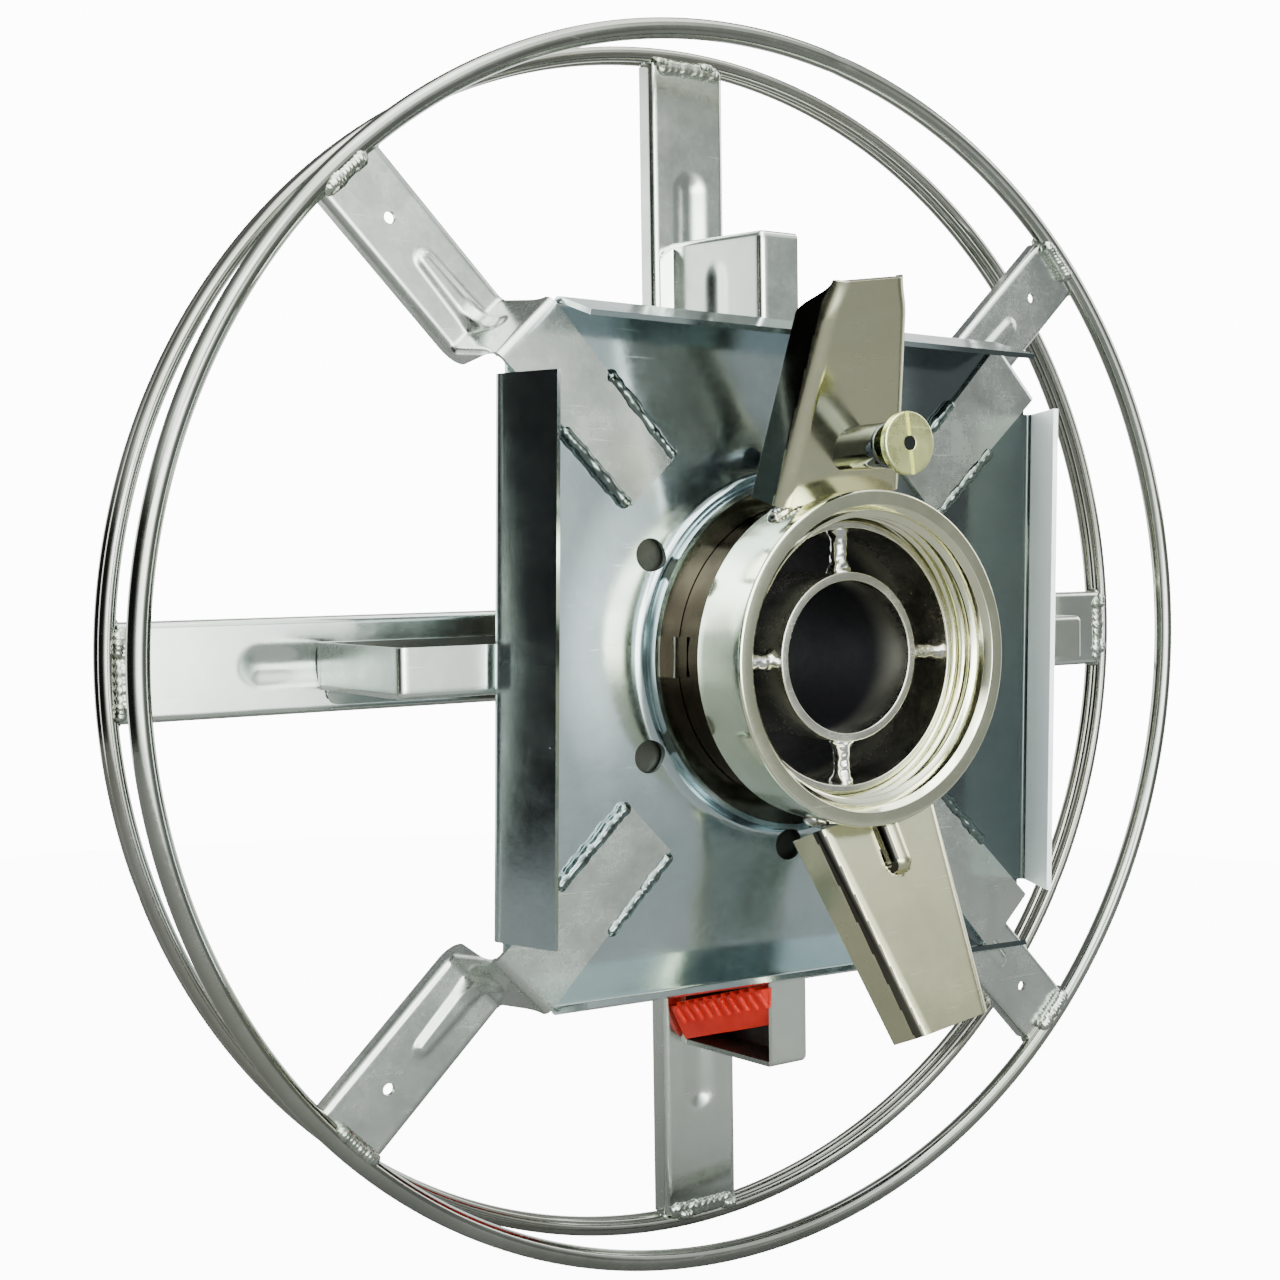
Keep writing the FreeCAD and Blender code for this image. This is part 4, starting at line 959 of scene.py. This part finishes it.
for turn_by, lean, half in ((0, side_lean, side_half), (90, top_lean, top_half),
                            (180, side_lean, side_half), (270, top_lean, top_half)):
    fold = bent_line(((flat_half, floor_front), (tray_half - sheet, floor_front),
                      (tray_half - sheet - lean, floor_front + flange_high)), (0, 1.5, 0), 1.6)
    at = sorted({round(flat_half * math.tan(a), 6) for a in [
        (angle - math.radians(turn_by) + math.pi) % math.tau - math.pi for angle in angles]
        if abs(a) < math.pi / 3 and abs(flat_half * math.tan(a)) <= half + 1e-6})
    strip = np.array([[(u, v, b) for u, b in fold] for v in at])
    tray_parts.append((turn(strip, turn_by), quads(len(at), len(fold))))
tray = piece_of("tray_pressing", *joined(*tray_parts), tray_zinc, solid=False)
work = bmesh.new()
work.from_mesh(tray.data)
bmesh.ops.remove_doubles(work, verts=work.verts, dist=2e-5)
bmesh.ops.recalc_face_normals(work, faces=work.faces)
if sum(f.normal.y * f.calc_area() for f in work.faces) > 0:
    bmesh.ops.reverse_faces(work, faces=work.faces)
work.to_mesh(tray.data)
work.free()
tray.data.shade_smooth()
weld_line = [(x, y, 79.0) for x in (-12.9, 12.9) for y in range(92, 134, 4)]
mark_heat(tray, np.concatenate([turn(weld_line, angle) for angle in corners.values()]), 6.0)
# Painted highlight: the right flange is painted near white, with little metal.
right_flange_painted_highlight = plated("right_flange_painted_highlight", (0.97, 1.0, 1.0), (0.92, 0.99, 0.99), (0.95, 0.98, 0.92), 0.34, 0.50)
right_flange_painted_highlight.node_tree.nodes["Principled BSDF"].inputs["Metallic"].default_value = 0.3
tray.data.materials.append(right_flange_painted_highlight)
right_fold, floor_top = 0.110, 0.0795
for face in tray.data.polygons:
    face.material_index = int(face.center.x > right_fold and -face.center.y > floor_top)
thicken(tray, sheet)
pin_hole_reach, pin_hole_radius = 75.0, 6.25
pin_holes = [turn((pin_hole_reach, 0, 77.0), 30 + 60 * k) for k in range(6)]
cut_away(tray, [drill_at(spot, pin_hole_radius, depth=20.0, facets=48) for spot in pin_holes])
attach(tray, "front_flange")
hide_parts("tray")

# The arms' inner ends are welded to the tray along both edges, with smooth, glossy beads, painted dark as a
# painted reflection.
arm_beads = []
for number, angle in enumerate(corners.values()):
    for x, start, end in ((-13.6, 91.5, 131.0), (13.6, 90.5, 133.0)):
        line = [(x * (1 + (y - 91) / 760), y, 78.6) for y in np.linspace(start, end, 20)]
        arm_beads.append(bead(turn(line, angle), (0, 0, 1), 5.0, 2.3, number * 3 + x, ripple=13.0))
# Painted reflection: the beads' zinc is painted dark.
bead_zinc = plated("bead_zinc", (0.24, 0.29, 0.28), (0.11, 0.14, 0.14), (0.26, 0.27, 0.22), 0.06, 0.16,
                   cloud_scale=70.0, relief=0.00008)
welds("tray_arm_welds", arm_beads, bead_zinc, "front_flange")


def refinish(name, finish):
    """Give a solid of the frame that keeps its own mesh a finish."""
    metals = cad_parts[name].data.materials
    metals.clear()
    metals.append(finish)


# The index plate behind the tray closes the pin holes. It is dull sheet, painted nearly black: painted shade
# seen through the pin holes.
dull_zinc = plated("dull_zinc", (0.07, 0.075, 0.065), (0.045, 0.047, 0.04), (0.08, 0.075, 0.05), 0.42, 0.62,
                   cloud_scale=60.0)
refinish("index_plate", dull_zinc)


# ---- Retaining ring ----
# A flat ring in the neck holds the lever nut's flange to the tray. Its key lug shows at the left.
# It is pressed sheet, coloured a dark brown.
retainer_zinc = plated("retainer_zinc", (0.19, 0.18, 0.15), (0.08, 0.08, 0.07), (0.20, 0.15, 0.10),
                       0.10, 0.22)
refinish("retaining_ring", retainer_zinc)


# ---- Lever nut ----
# A turned steel ring with an inside thread, a sleeve behind it and a flange that runs in the neck.
# Its head is plated a straw colour, and the sleeve is painted a dull dark brown: painted shade in the gap
# under the head.
nut_gold = plated("nut_gold", (0.97, 0.98, 0.77), (0.88, 0.88, 0.66), (0.95, 0.90, 0.56), 0.08, 0.20,
                  cloud_scale=24.0)
nut_inside, nut_outside, sleeve_outside, flange_outside = 54.2, 61.8, 57.5, 61.5
nut_back, flange_face, head_back, nut_front = 78.0, 84.6, 105.5, 132.1
nut_outline = ((nut_inside, nut_back), (flange_outside, nut_back), (flange_outside, flange_face),
               (sleeve_outside, flange_face), (sleeve_outside, head_back), (nut_outside, head_back),
               (nut_outside, nut_front), (nut_inside + 2.1, nut_front), (nut_inside, nut_front - 2.4))
nut_rounds = (0.5, 0.5, 0.5, 1.0, 0.8, 0.8, 1.1, 0.4, 0.4)
nut_parts = joined(lathe(nut_outline, nut_rounds, 4.0, 200),
                   thread(base=54.6, crest=52.0, back=84.5, length=42.6))
nut = sharpen(piece_of("lever_nut_ring", *nut_parts, nut_gold))
sleeve_painted_shade = plated("sleeve_painted_shade", (0.15, 0.145, 0.12), (0.06, 0.06, 0.05), (0.15, 0.12, 0.08), 0.08, 0.20)
nut.data.materials.append(sleeve_painted_shade)
# Painted shade: the sleeve and flange behind the head take the dark finish.
for face in nut.data.polygons:
    behind_head = -face.center.y < (head_back - 0.3) * 0.001
    outside = math.hypot(face.center.x, face.center.z) > (sleeve_outside - 1.3) * 0.001
    face.material_index = int(behind_head and outside)
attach(nut, "winged_nut")
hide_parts("lever_nut")


# ---- Wings ----
# Two tapered channels of 2.5 mm sheet, welded to the lever nut, lean forward for the fingers.
# Their long edges are rolled back; the lower one has a bullet-shaped dart, the upper one the lock.
wing_lean, wing_root, wing_root_face, wing_fold, wing_plate = math.radians(22.5), 59.0, 122.5, 74.0, 2.5
tip_taper, tip_narrowing, nut_bead_at = 14.0, 6.5, 62.4
root_half, tip_half, wing_depth, wing_bend, wing_length = 32.0, 20.4, 13.5, 6.0, 75.0 / math.cos(wing_lean)
wing_gold = plated("wing_gold", (0.72, 0.705, 0.50), (0.62, 0.61, 0.42), (0.70, 0.63, 0.34), 0.15, 0.26,
                   cloud_scale=13.0, heat=True)
# Painted reflection: the left lips are painted near black, for the dark side of the room they mirror.
lip_painted_reflection = plated("wing_lip_painted_reflection", (0.11, 0.11, 0.09), (0.05, 0.05, 0.045), (0.15, 0.13, 0.09), 0.06, 0.14)
# Painted shade: the upper wing's back is painted a dark grey, which the tray mirrors.
wing_back_painted_shade = plated("wing_back_painted_shade", (0.34, 0.35, 0.31), (0.25, 0.26, 0.23), (0.32, 0.29, 0.19), 0.20, 0.34)


def bullet_dart(across, run):
    """How far a half-round dart with a ball end stands out, at places across and along a wing."""
    dart_radius, dart_end = 5.5, 17.0 / math.cos(wing_lean)
    distance = np.hypot(across, np.maximum(run - dart_end, 0))
    return np.sqrt(np.maximum(dart_radius ** 2 - distance ** 2, 0))


def wing(name, angle, dart, behind, tip_share, dark_from, dark_to):
    """One wing. Its lips keep a share of their depth at the tip, and the lip painted near black as a painted
    reflection is found by its slope.
    """
    shares = np.linspace(-1, 1, 129)[None, :]
    at_root, _ = channel_at(shares, root_half, wing_depth, wing_bend, wing_fold)
    first = np.maximum(np.sqrt((nut_outside - 0.1) ** 2 - at_root ** 2) - wing_root, 0) / math.cos(wing_lean)
    near_tip = 1 - 16 / wing_length
    along = np.concatenate([np.linspace(0, near_tip, 100), np.linspace(near_tip, 1, 34)[1:]])[:, None]
    run = first + (wing_length - first) * along
    full = tip_share + (1 - tip_share) * smooth_step(0.0, tip_taper, wing_length - run)
    half = root_half + (tip_half - root_half) * run / wing_length - tip_narrowing * (1 - full)
    wide, depth = channel_at(shares, half, wing_depth * full, wing_bend, wing_fold)
    out = (bullet_dart(wide, run) if dart else 0) - depth
    up = run * math.cos(wing_lean) - out * math.sin(wing_lean)
    front = run * math.sin(wing_lean) + out * math.cos(wing_lean)
    grid = np.stack([wide, wing_root + up, wing_root_face + front], -1)
    piece = sheet_of(name, turn(grid, angle), wing_plate, wing_gold, edge=0.5)
    mark_heat(piece, turn([(x, math.sqrt(62.0 ** 2 - x * x), 121.0) for x in range(-24, 25, 4)], angle), 6.0)
    for metal in (lip_painted_reflection, behind, behind):
        piece.data.materials.append(metal)
    # Painted reflection: faces that slope this way take the near-black lip finish.
    for face in piece.data.polygons:
        face.material_index = int(dark_from < face.normal.x < dark_to)
    piece.modifiers["plate"].material_offset = 2
    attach(piece, "winged_nut")
    return piece


upper = wing("upper_wing_pressing", wing_turn, dart=False, behind=wing_back_painted_shade,
             tip_share=0.28, dark_from=-1.01, dark_to=-0.93)
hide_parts("upper_wing")
lower = wing("lower_wing_pressing", 180 + wing_turn, dart=True, behind=front_zinc,
             tip_share=1.0, dark_from=-0.90, dark_to=-0.52)
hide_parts("lower_wing")

nut_beads = []
for number, angle in enumerate((wing_turn, 180 + wing_turn)):
    for low, high in ((-29, -17), (17, 29)):
        arc = [(x, math.sqrt(nut_bead_at ** 2 - x ** 2), 122.0 - abs(x) * 0.25)
               for x in np.linspace(low, high, 12)]
        nut_beads.append(bead(turn(arc, angle), turn((0, 0.7, 0.7), angle), 5.0, 2.4, number + low))
nut_bead_zinc = plated("nut_bead_zinc", (0.72, 0.72, 0.66), (0.36, 0.36, 0.31), (0.50, 0.46, 0.34),
                       0.10, 0.30, cloud_scale=80.0, relief=0.0001)
welds("wing_nut_welds", nut_beads, nut_bead_zinc, "winged_nut")


# ---- Lock ----
# A chromed barrel stands through the upper wing. A pin runs in it, pressed by a spring.
# A slotted yellow disc on the pin's end is the pull knob.
barrel_bore, barrel_radius, barrel_back, barrel_front = 4.15, 8.0, 114.0, 152.0
disc_bore, disc_radius, disc_back, disc_front = 2.55, 11.0, 159.5, 162.5
slit_wide, slit_long, slit_deep = 1.8, 30.0, 3.0


def on_pin(points):
    """Points round the pin's own axis, set in the upper wing."""
    p = np.asarray(points, float).copy()
    p[..., 1] += pin_reach
    return turn(p, wing_turn)


# Painted shade: the chrome is painted dark grey, for the dark surroundings it mirrors.
chrome = plated("chrome", (0.14, 0.155, 0.155), (0.07, 0.08, 0.08), (0.13, 0.11, 0.10), 0.03, 0.09,
                scratch=0.2, relief=0.00001)
barrel_outline = ((barrel_bore, barrel_back), (barrel_radius, barrel_back), (barrel_radius, barrel_front),
                  (barrel_bore, barrel_front))
barrel_points, barrel_faces = lathe(barrel_outline, (0.3, 0.8, 1.2, 0.3), 3.0, 72)
barrel = sharpen(piece_of("lock_barrel_tube", on_pin(barrel_points), barrel_faces, chrome))
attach(barrel, "winged_nut")
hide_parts("lock_barrel")

knob_gold = plated("knob_gold", (0.94, 0.95, 0.46), (0.84, 0.86, 0.38), (0.94, 0.80, 0.32), 0.22, 0.38,
                   cloud_scale=70.0)
disc_outline = ((disc_bore, disc_back), (disc_radius, disc_back), (disc_radius, disc_front),
                (disc_bore, disc_front))
disc_points, disc_faces = lathe(disc_outline, (0.2, 0.7, 0.7, 0.3), 1.2, 96)
knob = piece_of("lock_knob_disc", on_pin(disc_points), disc_faces, knob_gold)
blade = bmesh.new()
bmesh.ops.create_cube(blade, size=1.0)
blade_size = Matrix.Diagonal((slit_wide * 0.001, slit_deep * 0.001, slit_long * 0.001, 1))
cut_away(knob, [tool_at(blade, on_pin((0, 0, disc_front + 0.5)),
                        Matrix.Rotation(-math.radians(wing_turn), 4, "Y") @ blade_size)])
sharpen(knob)
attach(knob, "lock_plunger")
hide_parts("lock_knob")

# The pin takes the same chrome, painted dark.
refinish("lock_pin", chrome)
spring_steel = plated("spring_steel", (0.45, 0.45, 0.46), (0.35, 0.35, 0.36), (0.40, 0.38, 0.34), 0.20, 0.35)
refinish("lock_spring", spring_steel)
